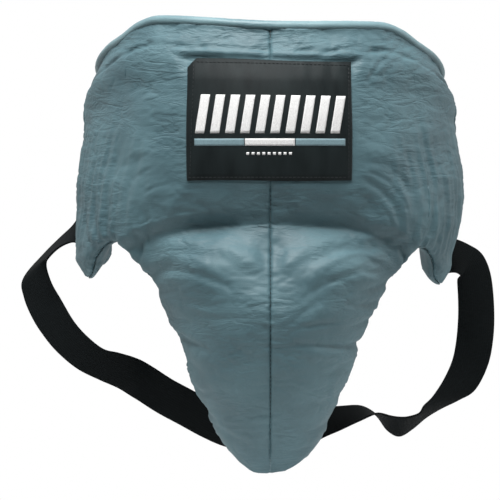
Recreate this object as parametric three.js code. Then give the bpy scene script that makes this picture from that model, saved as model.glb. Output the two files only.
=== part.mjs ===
// Boxing groin protector: a padded leather body that wraps the front and the hips, with a rigid cup
// below the abdominal pad, a two-part elastic waist belt that closes behind, and two elastic leg straps.
//
// Axes: +X is the right-hand side seen from the front, +Y points to the wearer's back, +Z is up.
// The origin is the middle of the waist, level with the middle of the belt.
// Heights named h are counted from the lowest point of the cup, so z = h - WAIST_HEIGHT.
// Side is -1 for the left half and +1 for the right half, as seen from the front.
import * as THREE from 'three';

// ---- Driving dimensions, in millimetres and degrees -------------------------------------------
const WAIST_HEIGHT = 265; // from the cup's lowest point up to the middle of the belt
const TOP_HEIGHT = 338; // top edge of the leather at the centre seam
const TOP_TILT = 0.03; // the top edge falls this much per millimetre to the right
const RIGHT_HANG = 5; // the right leg opening hangs this much lower than the left one
const HIP_HALF_WIDTH = 151; // widest half width, across the hips
const HIP_WIDEST_HEIGHT = 190;
const WAIST_TAPER = 8; // how far each side comes in, TAPER_SPAN above the widest height
const TAPER_SPAN = 80;
const HIP_DEPTH = 105; // half depth of the body's plan ellipse
const TIP_FROM = 145; // the wings' lower tips are pinched and drawn in between these heights
const TIP_TO = 163;
const TIP_NARROWING = 9; // how far the tips are drawn in
const TIP_PINCH = 0.35; // thickness at the lowest point, as a share of the thickness above
const FRONT_ANGLE = 53; // plan angle from the centre seam to the leg arch
const CUP_SWEEP = 86; // the same at the cup's edge, below the arch
const REAR_ANGLE = 112; // plan angle from the centre seam to the wing's rear edge
const ARCH_HEIGHT = 175; // top of the leg opening
const CREASE_ROW = 199; // centre height of the row that ends at the leg arch
const CREASE_DROP = CREASE_ROW - ARCH_HEIGHT; // fall of that row from the centre to the arch
const ABDOMEN_Y = -89; // the wearer's side of the pad, in the middle plane

const LEATHER = 1.6; // cover thickness
const LINING = 1.4;
const CUP_FOAM = 5.5; // foam over the cup
const CUP_WALL = 3;
const GAP = 0.4; // clearance between touching layers
const SEAM_GAP = 0.2; // half the clearance along the centre seam
const CUP_STACK = 14; // full thickness in the middle of the cup
const RIM_STACK = 19; // full thickness at the cup's padded rim
const SPINE_LIFT = 60; // the layers of the cup's lowest point face this far up the middle plane
const HIP_STACK = 22; // full thickness of the hip pads
const EDGE_STACK = 15; // full thickness at a sewn edge
const COLLAR_STACK = 6; // full thickness of the thin collar above the pad
const COLLAR_DEPTH = 17; // height of the thin collar
const PIPING_RADIUS = 3.2;

const LABEL = { left: -63, right: 61.5, bottom: 222, top: 314, lift: 1, thickness: 0.9 };

const BELT_WIDTH = 50;
const BELT_THICKNESS = 2;
const BELT_ELLIPSE = { halfWidth: 142, halfDepth: 110 };
const BELT_ROOT_ANGLE = 113.2;
const RIGHT_ELASTIC_END = 150; // plan angles, counted over the right side
const LEFT_ELASTIC_END = 156;
const TAB_END = 208;
const LOOP_END = 222;
const PANEL_WIDTH = 42; // height of the hook and loop panels
const PANEL_THICKNESS = 1.5;

const STRAP_WIDTH = 28.5; // 30 mm elastic, a little drawn in by its stretch
const STRAP_THICKNESS = 1.8;
const STRAP_TOP = { x: 144, y: 45.5 }; // plan place of a leg strap's upper end
const STRAP_FOOT = { x: 9, y: -28.5 }; // and of its lower end
const FOOT_PATCH = { width: 50, height: 30, thickness: 5.6, middle: 28, y: -40.2 };

const LEATHER_GREY = 0x58757c;
const PIPING_GREY = 0x7b989f;
const FOAM_CREAM = 0xd8d2c0;
const CUP_WHITE = 0xc9cdd0;
const WEBBING_BLACK = 0x11171a;

// ---- Small helpers ----------------------------------------------------------------------------
const RAD = Math.PI / 180;
const mix = (a, b, t) => a + (b - a) * t;

function smooth(low, high, value) {
  const t = Math.min(1, Math.max(0, (value - low) / (high - low)));
  return t * t * (3 - 2 * t);
}

// A smooth curve through [position, value] points, level beyond both ends.
function profile(points) {
  const last = points.length - 1;
  const slope = (i) => {
    if (i === 0 || i === last) return 0;
    return (points[i + 1][1] - points[i - 1][1]) / (points[i + 1][0] - points[i - 1][0]);
  };
  return (at) => {
    if (at <= points[0][0]) return points[0][1];
    if (at >= points[last][0]) return points[last][1];
    const i = points.findIndex((point) => point[0] > at) - 1;
    const span = points[i + 1][0] - points[i][0];
    const t = (at - points[i][0]) / span;
    const start = points[i][1] * (1 + 2 * t) * (1 - t) ** 2 + slope(i) * span * t * (1 - t) ** 2;
    const end = points[i + 1][1] * t * t * (3 - 2 * t) - slope(i + 1) * span * t * t * (1 - t);
    return start + end;
  };
}

// ---- The body's design surface ----------------------------------------------------------------
// Front profile in the middle plane: tip, cup, fold under the pad, pad, collar.
const frontY = profile([
  [0, -60], [12, -76], [30, -92], [60, -111], [95, -124], [125, -128], [155, -122], [174, -109],
  [187, -98], [200, -107], [222, -115], [262, -118], [298, -113], [316, -103], [326, -99], [341, -97],
]);
const cupEdgeY = profile([[0, -50], [12, -44], [40, -42], [90, -50], [140, -60], [175, -63.2]]);
const cupHalfWidth = profile([
  [0, 8], [4, 18], [12, 30], [25, 40.5], [49, 52.5], [74, 64.5], [99, 71.5], [117, 82],
  [142, 93], [154, 103], [166, 113], [175, 120.6],
]);
// Top edge and lower edge of the body by plan angle.
const topEdge = profile([
  [0, TOP_HEIGHT], [45, 340], [55, 335], [64, 326], [76, 318], [90, 308], [112, 298],
]);
const flapEdge = profile([
  [53, ARCH_HEIGHT], [60, 172], [66, 164], [72, 154], [79, 148], [88, 147], [100, 151], [112, 162],
]);

const creaseDrop = (row) => CREASE_DROP * smooth(60, 185, row) * (1 - smooth(205, 320, row));

function hipHalfWidth(h) {
  const taper = WAIST_TAPER * (Math.max(0, h - HIP_WIDEST_HEIGHT) / TAPER_SPAN) ** 2;
  const tip = TIP_NARROWING * (1 - smooth(TIP_FROM, TIP_TO, h));
  return HIP_HALF_WIDTH - taper - tip;
}

// Full thickness at a point: pad at the front, hip pads at the sides, thin at the sewn edges.
function upperStack(angle, h, row) {
  const front = Math.max(COLLAR_STACK, ABDOMEN_Y - frontY(row));
  const fromFlap = smooth(0, 16, h - flapEdge(angle));
  const fromRear = smooth(0, 9, REAR_ANGLE - angle);
  const pinch = mix(TIP_PINCH, 1, smooth(TIP_FROM, TIP_TO, h));
  const hip = mix(EDGE_STACK, HIP_STACK, fromFlap * fromRear) * pinch;
  const belowTop = topEdge(angle) - h;
  const side = mix(COLLAR_STACK, hip, smooth(COLLAR_DEPTH - 8, COLLAR_DEPTH + 10, belowTop));
  return mix(front, side, smooth(25, FRONT_ANGLE, angle));
}

function cupStack(across) {
  return mix(CUP_STACK, RIM_STACK, smooth(0.6, 0.9, across));
}

// The soft body doesn't hang quite level: the top edge tilts and the right leg opening is lower.
function settle(x, h) {
  const hang = smooth(70, 125, x) * smooth(110, 150, h) * (1 - smooth(190, 290, h));
  const tilt = Math.min(100, Math.max(-100, x)) * smooth(250, TOP_HEIGHT, h);
  return h - RIGHT_HANG * hang - TOP_TILT * tilt;
}

// A point of the design surface: a place on the outer face, the way in, and the full thickness.
function station(side, x, y, h, inward, stack) {
  const place = new THREE.Vector3(side * x, y, h);
  const way = new THREE.Vector3(side * inward.x, inward.y, inward.z).normalize();
  return { place, way, stack };
}

// Central strip: row is the height at the centre seam, across runs from the seam to the cup's edge
// or, above the arch, to the plan angle of the arch.
function centralStation(side, row, across) {
  const edgeHeight = row - creaseDrop(row);
  const upper = smooth(176, CREASE_ROW, row);
  const sweep = mix(CUP_SWEEP, FRONT_ANGLE, smooth(150, CREASE_ROW, row));
  const angle = sweep * across;
  const lift = (topEdge(angle) - TOP_HEIGHT) * smooth(290, TOP_HEIGHT, row);
  const h = row - creaseDrop(row) * across ** 3 + lift;
  const above = row >= CREASE_ROW;
  const half = above ? hipHalfWidth(h) * Math.sin(FRONT_ANGLE * RAD) : cupHalfWidth(edgeHeight);
  const edgeY = above ? -HIP_DEPTH * Math.cos(FRONT_ANGLE * RAD) : cupEdgeY(edgeHeight);
  const x = (half * Math.sin(angle * RAD)) / Math.sin(sweep * RAD);
  const bulge = (edgeY - frontY(row)) / (1 - Math.cos(sweep * RAD));
  const y = frontY(row) + bulge * (1 - Math.cos(angle * RAD));
  const spineLift = SPINE_LIFT * (1 - smooth(0, 90, row));
  const toSpine = new THREE.Vector3(-x, edgeY - y, spineLift).normalize();
  const radial = new THREE.Vector3(-Math.sin(angle * RAD), Math.cos(angle * RAD), 0);
  const stack = mix(cupStack(across), upperStack(angle, h, row), upper);
  return station(side, x, y, h, toSpine.lerp(radial, upper), stack);
}

// Side strip: share runs from the arch to the rear edge, row picks the matching central row.
function hipStation(side, row, share) {
  const angle = mix(FRONT_ANGLE, REAR_ANGLE, share);
  const archSide = centralStation(1, row, 1).place.z;
  const rise = (archSide - ARCH_HEIGHT) / (topEdge(FRONT_ANGLE) - ARCH_HEIGHT);
  const h = mix(flapEdge(angle), topEdge(angle), rise);
  const x = hipHalfWidth(h) * Math.sin(angle * RAD);
  const y = -HIP_DEPTH * Math.cos(angle * RAD);
  const inward = { x: -Math.sin(angle * RAD), y: Math.cos(angle * RAD), z: 0 };
  return station(side, x, y, h, inward, upperStack(angle, h, row));
}

// The place at a depth below the outer face, in the object's own frame.
function atDepth(point, depth) {
  const place = point.place.clone().addScaledVector(point.way, depth);
  return new THREE.Vector3(place.x, place.y, settle(place.x, place.z) - WAIST_HEIGHT);
}

// ---- Turning sheets of stations into closed solids --------------------------------------------
const ROWS = [
  0, 5, 13, 24, 38, 54, 72, 90, 108, 126, 142, 156, 168, 178, 186, 192, CREASE_ROW,
  208, 222, 242, 264, 286, 302, 311, 318, 327, TOP_HEIGHT,
];
const ARCH_INDEX = ROWS.indexOf(CREASE_ROW);
const TOP_INDEX = ROWS.length - 1;
const ACROSS = [0, 0.17, 0.34, 0.5, 0.65, 0.78, 0.9, 1];
const SHARES = [0, 0.13, 0.27, 0.42, 0.58, 0.74, 0.88, 1];
const INNER_COLUMNS = [0, 6]; // the inner layers stop one column short of the sewn edge
const RIM_COLUMNS = [5, 6];

// Two triangles per cell. In the first mirroredColumns columns the diagonal leans the other way, so
// that the left half is the mirror image of the right half and the layers' triangles line up.
function gridFaces(faces, rowCount, columnCount, indexAt, mirroredColumns = 0) {
  for (let row = 0; row < rowCount - 1; row += 1) {
    for (let column = 0; column < columnCount - 1; column += 1) {
      const a = indexAt(row, column);
      const b = indexAt(row, column + 1);
      const c = indexAt(row + 1, column + 1);
      const d = indexAt(row + 1, column);
      if (column < mirroredColumns) faces.push([a, b, d], [b, c, d]);
      else faces.push([a, b, c], [a, c, d]);
    }
  }
}

// Part of the central strip, on one side or across both, by row and column numbers.
function centralSheet(sides, rows, columns) {
  const stations = [];
  const faces = [];
  const [firstRow, lastRow] = rows;
  const [firstColumn, lastColumn] = columns;
  const places = [];
  if (sides.includes(-1)) {
    for (let column = lastColumn; column >= firstColumn; column -= 1) places.push([-1, column]);
  }
  if (sides.includes(1)) {
    for (let column = firstColumn; column <= lastColumn; column += 1) places.push([1, column]);
  }
  const distinct = places.filter(([side, column]) => !(side === 1 && column === 0 && sides.length === 2));
  for (let row = firstRow; row <= lastRow; row += 1) {
    for (const [side, column] of distinct) stations.push(centralStation(side, ROWS[row], ACROSS[column]));
  }
  const width = distinct.length;
  const mirrored = sides.includes(-1) ? lastColumn - firstColumn : 0;
  gridFaces(faces, lastRow - firstRow + 1, width, (row, column) => row * width + column, mirrored);
  return { stations, faces };
}

// Part of a hip strip, by row and column numbers.
function hipSheet(side, rows, columns) {
  const stations = [];
  const faces = [];
  const width = columns[1] - columns[0] + 1;
  for (let row = rows[0]; row <= rows[1]; row += 1) {
    for (let column = columns[0]; column <= columns[1]; column += 1) {
      stations.push(hipStation(side, ROWS[row], SHARES[column]));
    }
  }
  gridFaces(faces, rows[1] - rows[0] + 1, width, (row, column) => row * width + column);
  return { stations, faces: side > 0 ? faces : faces.map(([a, b, c]) => [a, c, b]) };
}

// One whole half of the body: the central strip joined to the hip strip above the arch.
function halfSheet(side) {
  const central = centralSheet([1], [0, TOP_INDEX], [0, ACROSS.length - 1]);
  const stations = [];
  for (const row of ROWS) {
    for (const across of ACROSS) stations.push(centralStation(side, row, across));
  }
  const faces = central.faces.slice();
  const firstHip = stations.length;
  const hipWidth = SHARES.length - 1;
  for (let row = ARCH_INDEX; row <= TOP_INDEX; row += 1) {
    for (const share of SHARES.slice(1)) stations.push(hipStation(side, ROWS[row], share));
  }
  const indexAt = (row, column) => {
    if (column === 0) return (row + ARCH_INDEX) * ACROSS.length + ACROSS.length - 1;
    return firstHip + row * hipWidth + column - 1;
  };
  gridFaces(faces, TOP_INDEX - ARCH_INDEX + 1, SHARES.length, indexAt);
  return { stations, faces: side > 0 ? faces : faces.map(([a, b, c]) => [a, c, b]) };
}

// A closed solid between two faces that share one set of triangles.
function solidBetween(front, back, faces) {
  const count = front.length;
  const index = [];
  const open = new Map();
  for (const [a, b, c] of faces) {
    index.push(a, b, c, a + count, c + count, b + count);
    for (const [from, to] of [[a, b], [b, c], [c, a]]) {
      if (!open.delete(`${to},${from}`)) open.set(`${from},${to}`, [from, to]);
    }
  }
  for (const [from, to] of open.values()) {
    index.push(from, from + count, to + count, from, to + count, to);
  }
  const geometry = new THREE.BufferGeometry();
  geometry.setFromPoints([...front, ...back]);
  geometry.setIndex(index);
  geometry.computeVertexNormals();
  return geometry;
}

// A layer of the body between two depths, each given by a function of the station.
function layer(sheet, outerDepth, innerDepth) {
  const front = sheet.stations.map((point) => atDepth(point, outerDepth(point)));
  const back = sheet.stations.map((point) => atDepth(point, innerDepth(point)));
  return solidBetween(front, back, sheet.faces);
}

// A band of constant thickness along stations of two edge places, closed at both ends.
function band(edges, thickness) {
  const front = [];
  const back = [];
  edges.forEach(([one, other], i) => {
    const before = edges[Math.max(0, i - 1)];
    const after = edges[Math.min(edges.length - 1, i + 1)];
    const along = after[0].clone().add(after[1]).sub(before[0]).sub(before[1]);
    const normal = along.cross(other.clone().sub(one)).normalize();
    for (const place of [one, other]) {
      front.push(place.clone().addScaledVector(normal, thickness / 2));
      back.push(place.clone().addScaledVector(normal, -thickness / 2));
    }
  });
  const faces = [];
  gridFaces(faces, edges.length, 2, (row, column) => row * 2 + 1 - column);
  return solidBetween(front, back, faces);
}

// ---- Building the named pieces ----------------------------------------------------------------
const protector = new THREE.Group();

function addPiece(name, geometry, color, roughness = 0.6) {
  const material = new THREE.MeshStandardMaterial({ color, roughness, metalness: 0 });
  const mesh = new THREE.Mesh(geometry, material);
  mesh.name = name;
  protector.add(mesh);
  return mesh;
}

const SIDES = [
  [-1, 'left'],
  [1, 'right'],
];

// Keeps the two halves of a layer apart along the centre seam.
function splitAtSeam(geometry, side) {
  const places = geometry.attributes.position;
  for (let i = 0; i < places.count; i += 1) {
    if (Math.abs(places.getX(i)) < SEAM_GAP) places.setX(i, side * SEAM_GAP);
  }
  return geometry;
}

function addCoversAndLinings() {
  for (const [side, name] of SIDES) {
    const sheet = halfSheet(side);
    const cover = layer(sheet, () => 0, () => LEATHER);
    addPiece(`outer_cover_${name}`, splitAtSeam(cover, side), LEATHER_GREY);
    const lining = layer(sheet, (point) => point.stack - LINING, (point) => point.stack);
    addPiece(`lining_${name}`, splitAtSeam(lining, side), LEATHER_GREY);
  }
}

// The depths of a layer that fills the space between the cover and the lining.
const UNDER_COVER = LEATHER + GAP;
const overLining = (point) => point.stack - LINING - GAP;

function addFoams() {
  const rows = [ROWS.indexOf(208), ROWS.indexOf(318)];
  const pad = layer(centralSheet([-1, 1], rows, INNER_COLUMNS), () => UNDER_COVER, overLining);
  addPiece('abdominal_foam', pad, FOAM_CREAM, 0.9);
  for (const [side, name] of SIDES) {
    const hip = layer(hipSheet(side, rows, INNER_COLUMNS), () => UNDER_COVER, overLining);
    addPiece(`hip_foam_${name}`, hip, FOAM_CREAM, 0.9);
  }
}

function addCup() {
  const topRow = ROWS.indexOf(168);
  const foamTo = UNDER_COVER + CUP_FOAM;
  const wallFrom = foamTo + GAP;
  const wallTo = wallFrom + CUP_WALL;
  const sheet = centralSheet([-1, 1], [ROWS.indexOf(24), topRow], INNER_COLUMNS);
  addPiece('cup_cover_foam', layer(sheet, () => UNDER_COVER, () => foamTo), FOAM_CREAM, 0.9);
  addPiece('hard_cup', layer(sheet, () => wallFrom, () => wallTo), CUP_WHITE, 0.4);
  for (const [side, name] of SIDES) {
    const rim = centralSheet([side], [ROWS.indexOf(38), topRow], RIM_COLUMNS);
    addPiece(`cup_rim_pad_${name}`, layer(rim, () => wallTo + GAP, overLining), FOAM_CREAM, 0.9);
  }
}

// The rolled edge along the top, from one wing's rear edge to the other's.
function addPiping() {
  const places = [];
  const stationAlong = (side, angle) => {
    if (angle <= FRONT_ANGLE) return centralStation(side, TOP_HEIGHT, angle / FRONT_ANGLE);
    return hipStation(side, TOP_HEIGHT, (angle - FRONT_ANGLE) / (REAR_ANGLE - FRONT_ANGLE));
  };
  const halfCount = 14;
  const step = REAR_ANGLE / halfCount;
  for (let i = -halfCount; i <= halfCount; i += 1) {
    const point = stationAlong(i < 0 ? -1 : 1, Math.abs(i) * step);
    const place = atDepth(point, COLLAR_STACK / 2);
    places.push(place.add(new THREE.Vector3(0, 0, PIPING_RADIUS + GAP)));
  }
  const path = new THREE.CatmullRomCurve3(places);
  const section = new THREE.Shape();
  const sides = 8;
  for (let i = 0; i < sides; i += 1) {
    const turn = (2 * Math.PI * (i + 0.5)) / sides;
    const place = [PIPING_RADIUS * Math.cos(turn), PIPING_RADIUS * Math.sin(turn)];
    if (i === 0) section.moveTo(...place);
    else section.lineTo(...place);
  }
  const settings = { extrudePath: path, steps: 44, bevelEnabled: false };
  addPiece('top_piping', new THREE.ExtrudeGeometry(section, settings), PIPING_GREY);
}

// The station of the outer face at a given place seen from the front.
function faceStation(x, h) {
  const side = x < 0 ? -1 : 1;
  const angle = Math.asin(Math.abs(x) / hipHalfWidth(h)) / RAD;
  const across = angle / FRONT_ANGLE;
  let row = h;
  for (let pass = 0; pass < 6; pass += 1) row += h - centralStation(side, row, across).place.z;
  return centralStation(side, row, across);
}

function addLabel() {
  const columns = 10;
  const rows = 6;
  const stations = [];
  const faces = [];
  for (let row = 0; row <= rows; row += 1) {
    for (let column = 0; column <= columns; column += 1) {
      const x = mix(LABEL.left, LABEL.right, column / columns);
      stations.push(faceStation(x, mix(LABEL.bottom, LABEL.top, row / rows)));
    }
  }
  gridFaces(faces, rows + 1, columns + 1, (row, column) => row * (columns + 1) + column);
  const outer = () => -LABEL.lift - LABEL.thickness;
  const inner = () => -LABEL.lift;
  addPiece('label_patch', layer({ stations, faces }, outer, inner), 0x242f31, 0.5);
}

// A length of the belt ellipse between two plan angles counted over the right side.
function beltBand(name, from, to, width, offsetAt, thickness, color) {
  const count = Math.max(4, Math.ceil(Math.abs(to - from) / 6));
  const front = [];
  const back = [];
  for (let i = 0; i <= count; i += 1) {
    const share = i / count;
    const angle = mix(from, to, share) * RAD;
    const way = new THREE.Vector3(
      Math.sin(angle) / BELT_ELLIPSE.halfWidth,
      -Math.cos(angle) / BELT_ELLIPSE.halfDepth,
      0,
    ).normalize();
    for (const z of [-width / 2, width / 2]) {
      const place = new THREE.Vector3(
        BELT_ELLIPSE.halfWidth * Math.sin(angle),
        -BELT_ELLIPSE.halfDepth * Math.cos(angle),
        z,
      );
      const offset = offsetAt(share);
      back.push(place.clone().addScaledVector(way, offset));
      front.push(place.addScaledVector(way, offset + thickness));
    }
  }
  const faces = [];
  gridFaces(faces, count + 1, 2, (row, column) => row * 2 + 1 - column);
  addPiece(name, solidBetween(front, back, faces), color, 0.85);
}

// From the inside out: left elastic, loop panel, hook panel, right-hand leather tab.
const LOOP_OFFSET = BELT_THICKNESS + GAP;
const HOOK_OFFSET = LOOP_OFFSET + PANEL_THICKNESS + GAP;
const TAB_OFFSET = HOOK_OFFSET + PANEL_THICKNESS + GAP;

function addBelt() {
  const climb = TAB_OFFSET - GAP - BELT_THICKNESS;
  const leftRoot = 360 - BELT_ROOT_ANGLE;
  const rise = (share) => climb * smooth(0.4, 1, share);
  beltBand('waist_elastic_right', BELT_ROOT_ANGLE, RIGHT_ELASTIC_END, BELT_WIDTH, rise, BELT_THICKNESS,
    WEBBING_BLACK);
  beltBand('waist_elastic_left', LEFT_ELASTIC_END, leftRoot, BELT_WIDTH, () => 0, BELT_THICKNESS,
    WEBBING_BLACK);
  beltBand('loop_panel', LEFT_ELASTIC_END + 2, LOOP_END, PANEL_WIDTH, () => LOOP_OFFSET, PANEL_THICKNESS,
    WEBBING_BLACK);
  beltBand('hook_panel', LEFT_ELASTIC_END + 4, TAB_END - 2, PANEL_WIDTH, () => HOOK_OFFSET, PANEL_THICKNESS,
    WEBBING_BLACK);
  beltBand('closure_tab', RIGHT_ELASTIC_END - 3, TAB_END, BELT_WIDTH, () => TAB_OFFSET, BELT_THICKNESS,
    LEATHER_GREY);
}

// Leather patches that cover the sewn roots: on the outer face for the belt, inside for the straps.
function addRootPatches() {
  const rearColumns = [SHARES.length - 3, SHARES.length - 1];
  const beltRows = [ROWS.indexOf(264), ROWS.indexOf(327)];
  const strapRows = [ROWS.indexOf(208), ROWS.indexOf(242)];
  for (const [side, name] of SIDES) {
    const outside = hipSheet(side, beltRows, rearColumns);
    addPiece(`belt_root_patch_${name}`, layer(outside, () => -GAP - LEATHER, () => -GAP), LEATHER_GREY);
    const inside = hipSheet(side, strapRows, rearColumns);
    const from = (point) => point.stack + GAP;
    const to = (point) => point.stack + GAP + LEATHER;
    addPiece(`leg_strap_root_patch_${name}`, layer(inside, from, to), LEATHER_GREY);
  }
}

// A leg strap by its two edges seen from the front: [outer x, outer h, inner x, inner h]. Its middle
// line lies in the upright plane through its two sewn ends, and it turns in depth to keep its width.
function strapBand(side, stationsAlong) {
  const slope = (STRAP_FOOT.y - STRAP_TOP.y) / (STRAP_FOOT.x - STRAP_TOP.x);
  const edges = stationsAlong.map(([outerX, outerH, innerX, innerH]) => {
    const seen = Math.hypot(outerX - innerX, outerH - innerH);
    const depth = Math.sqrt(Math.max(0, STRAP_WIDTH ** 2 - seen ** 2)) / 2;
    const middleY = STRAP_TOP.y + slope * ((outerX + innerX) / 2 - STRAP_TOP.x);
    return [
      new THREE.Vector3(side * outerX, middleY + depth, outerH - WAIST_HEIGHT),
      new THREE.Vector3(side * innerX, middleY - depth, innerH - WAIST_HEIGHT),
    ];
  });
  return band(edges, STRAP_THICKNESS);
}

const LEFT_STRAP = [
  [144, 199, 144, 173], [153, 188, 152.5, 175.5], [164, 177.5, 163, 171.5], [176, 165.5, 172, 163],
  [192, 146, 173.5, 158.5], [191, 133, 169.5, 144], [185, 118, 162, 131], [177, 105, 152.5, 115],
  [166, 91.5, 142, 103], [150, 78, 129, 93], [132, 69, 117, 90], [116, 62, 105, 86.5],
  [103, 54, 92.5, 80.5], [87, 44, 76, 70], [70, 35, 60, 61.5], [52, 25.5, 44, 52.5],
  [35, 18.5, 28.5, 46], [11, 13.5, 9, 41.9],
];
const RIGHT_STRAP = [
  [143, 178, 143, 152], [155, 173, 148, 149], [166, 164, 145.5, 147], [172, 146, 145.5, 140],
  [174, 121, 146, 120], [173, 99, 144.5, 100], [169, 80, 141, 83], [159, 61, 134, 68],
  [146, 53, 126, 56], [133, 47, 119, 49], [121, 40, 115.5, 43.5], [110, 31, 108, 41],
  [100, 25.5, 101, 40.5], [91, 30, 93, 41.5], [82, 42, 82, 43.5], [70, 49, 69, 38],
  [55, 49, 54, 31], [42, 48, 40.5, 25], [27, 45, 24.5, 17], [11, 42, 10, 13.6],
];

function addLegStraps() {
  addPiece('leg_strap_left', strapBand(-1, LEFT_STRAP), WEBBING_BLACK, 0.85);
  addPiece('leg_strap_right', strapBand(1, RIGHT_STRAP), WEBBING_BLACK, 0.85);
  const patch = new THREE.BoxGeometry(FOOT_PATCH.width, FOOT_PATCH.thickness, FOOT_PATCH.height);
  const mesh = addPiece('leg_strap_foot_patch', patch, LEATHER_GREY);
  mesh.position.set(0, FOOT_PATCH.y, FOOT_PATCH.middle - WAIST_HEIGHT);
}

addCoversAndLinings();
addFoams();
addCup();
addPiping();
addLabel();
addBelt();
addRootPatches();
addLegStraps();

export default protector;
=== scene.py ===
"""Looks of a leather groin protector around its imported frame."""

import math

import bpy
import numpy as np
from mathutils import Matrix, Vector, kdtree, noise


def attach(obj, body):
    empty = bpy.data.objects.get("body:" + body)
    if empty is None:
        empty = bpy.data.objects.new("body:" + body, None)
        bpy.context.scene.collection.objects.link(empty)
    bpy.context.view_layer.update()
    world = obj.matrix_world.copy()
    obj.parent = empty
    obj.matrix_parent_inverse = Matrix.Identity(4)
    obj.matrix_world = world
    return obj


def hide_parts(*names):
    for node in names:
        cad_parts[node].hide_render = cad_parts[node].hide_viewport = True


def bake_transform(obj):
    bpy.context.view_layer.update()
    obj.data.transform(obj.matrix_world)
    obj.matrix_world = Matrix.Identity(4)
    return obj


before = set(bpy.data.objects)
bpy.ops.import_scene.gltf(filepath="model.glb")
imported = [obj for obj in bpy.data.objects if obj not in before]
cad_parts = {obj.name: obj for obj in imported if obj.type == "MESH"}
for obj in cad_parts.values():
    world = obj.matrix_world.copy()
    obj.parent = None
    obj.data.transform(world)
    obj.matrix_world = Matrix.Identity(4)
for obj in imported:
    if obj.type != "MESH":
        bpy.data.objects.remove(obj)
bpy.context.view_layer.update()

# ---- Driving dimensions, in millimetres and degrees, the same as the frame's own ----------------
# Heights named h are counted from the lowest point of the cup.
MM = 0.001
WAIST_HEIGHT = 265  # from the cup's lowest point up to the frame's origin
TOP_HEIGHT = 338  # top edge of the leather at the centre seam
TOP_TILT = 0.03  # the top edge falls this much per millimetre to the right
RIGHT_HANG = 5  # the right leg opening hangs this much lower than the left one
HIP_HALF_WIDTH = 151
HIP_WIDEST_HEIGHT = 190
WAIST_TAPER = 8
TAPER_SPAN = 80
HIP_DEPTH = 105
TIP_FROM = 145
TIP_TO = 163
TIP_NARROWING = 9
TIP_PINCH = 0.35
FRONT_ANGLE = 53  # plan angle from the centre seam to the leg arch
CUP_SWEEP = 86  # the same at the cup's edge, below the arch
REAR_ANGLE = 112  # plan angle to the wing's rear edge
ARCH_HEIGHT = 175
CREASE_ROW = 199  # centre height of the row that ends at the leg arch
CREASE_DROP = CREASE_ROW - ARCH_HEIGHT
ABDOMEN_Y = -89
SPINE_LIFT = 60
CUP_STACK = 14
RIM_STACK = 19
HIP_STACK = 22
EDGE_STACK = 15
COLLAR_STACK = 6
COLLAR_DEPTH = 17
PIPING_RADIUS = 3.2
STRAP_WIDTH = 28.5
STRAP_TOP = (144, 45.5)  # plan place of a leg strap's upper end
STRAP_FOOT = (9, -28.5)  # and of its lower end
FOOT_FACE_Y = -37.4  # rear face of the patch that the straps end on
BELT_WIDTH = 50
BELT_HALF_WIDTH = 142
BELT_HALF_DEPTH = 110
PANEL_WIDTH = 42
LABEL = {"left": -63, "right": 61.5, "bottom": 222, "top": 314}

# ---- Sizes that only the looks have -------------------------------------------------------------
LEATHER = 1.3
RIGHT_LEAN = 9.5  # the right wing's tip is drawn in towards the leg
RIGHT_TIP_FULLNESS = 5.0
TIP_DROP = 2.6  # the cup's tip sags this far
MIDDLE_CLEARANCE = 0.02  # both halves stop this far from the middle plane
HIP_ARC = 2.45  # length of one degree round the hips
CENTRAL_ARC = 118  # length from the centre seam to the leg arch
CUP_ARC = 110  # and over the cup
RIM_ARC = 105  # the same length, taken a little short for the lines near the free edge
RIM_SHARES = (0.6, 0.9)  # the cup's padded rim thickens between these shares of the way across
PIPING_LOOK_RADIUS = 3.7
STRAP_THICKNESS = 1.7
ELASTIC_THICKNESS = 1.8
PANEL_THICKNESS = 1.5
LABEL_LIFT = 0.9
LABEL_THICKNESS = 0.8
STITCH_RADIUS = 0.24
SIDES = [(-1, "left"), (1, "right")]


# ---- Small helpers ------------------------------------------------------------------------------
def mix(a, b, t):
    return a + (b - a) * t


def smooth(low, high, value):
    t = np.clip((value - low) / (high - low), 0, 1)
    return t * t * (3 - 2 * t)


def bell(distance, width):
    return np.exp(-((distance / width) ** 2))


def profile(points):
    """A smooth curve through (position, value) points, level beyond both ends."""
    xs = np.array([p[0] for p in points], float)
    ys = np.array([p[1] for p in points], float)
    slopes = np.zeros(len(xs))
    slopes[1:-1] = (ys[2:] - ys[:-2]) / (xs[2:] - xs[:-2])

    def value(at):
        at = np.clip(np.asarray(at, float), xs[0], xs[-1])
        i = np.clip(np.searchsorted(xs, at, side="right") - 1, 0, len(xs) - 2)
        span = xs[i + 1] - xs[i]
        t = (at - xs[i]) / span
        start = ys[i] * (1 + 2 * t) * (1 - t) ** 2 + slopes[i] * span * t * (1 - t) ** 2
        end = ys[i + 1] * t * t * (3 - 2 * t) - slopes[i + 1] * span * t * t * (1 - t)
        return start + end

    return value


def wander(x, y, z):
    """Smooth noise between about -1 and 1 at each point, the same on every run."""
    x, y, z = np.broadcast_arrays(np.asarray(x, float), np.asarray(y, float), np.asarray(z, float))
    values = [noise.noise(Vector(p)) for p in zip(x.ravel(), y.ravel(), z.ravel())]
    return np.array(values).reshape(x.shape)


def unit(vectors):
    return vectors / np.linalg.norm(vectors, axis=-1, keepdims=True)


def run_along(line):
    """Distance along a line at each of its points."""
    return np.concatenate([[0], np.cumsum(np.linalg.norm(np.diff(line, axis=0), axis=1))])


def at_run(line, run, at):
    """Values of a line of three columns at distances along it."""
    return np.stack([np.interp(at, run, line[:, k]) for k in range(3)], -1)


def grid_index(shape):
    return np.arange(shape[0] * shape[1]).reshape(shape[:2])


def grid_quads(index):
    corners = [index[:-1, :-1], index[:-1, 1:], index[1:, 1:], index[1:, :-1]]
    return np.stack(corners, -1).reshape(-1, 4)


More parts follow.
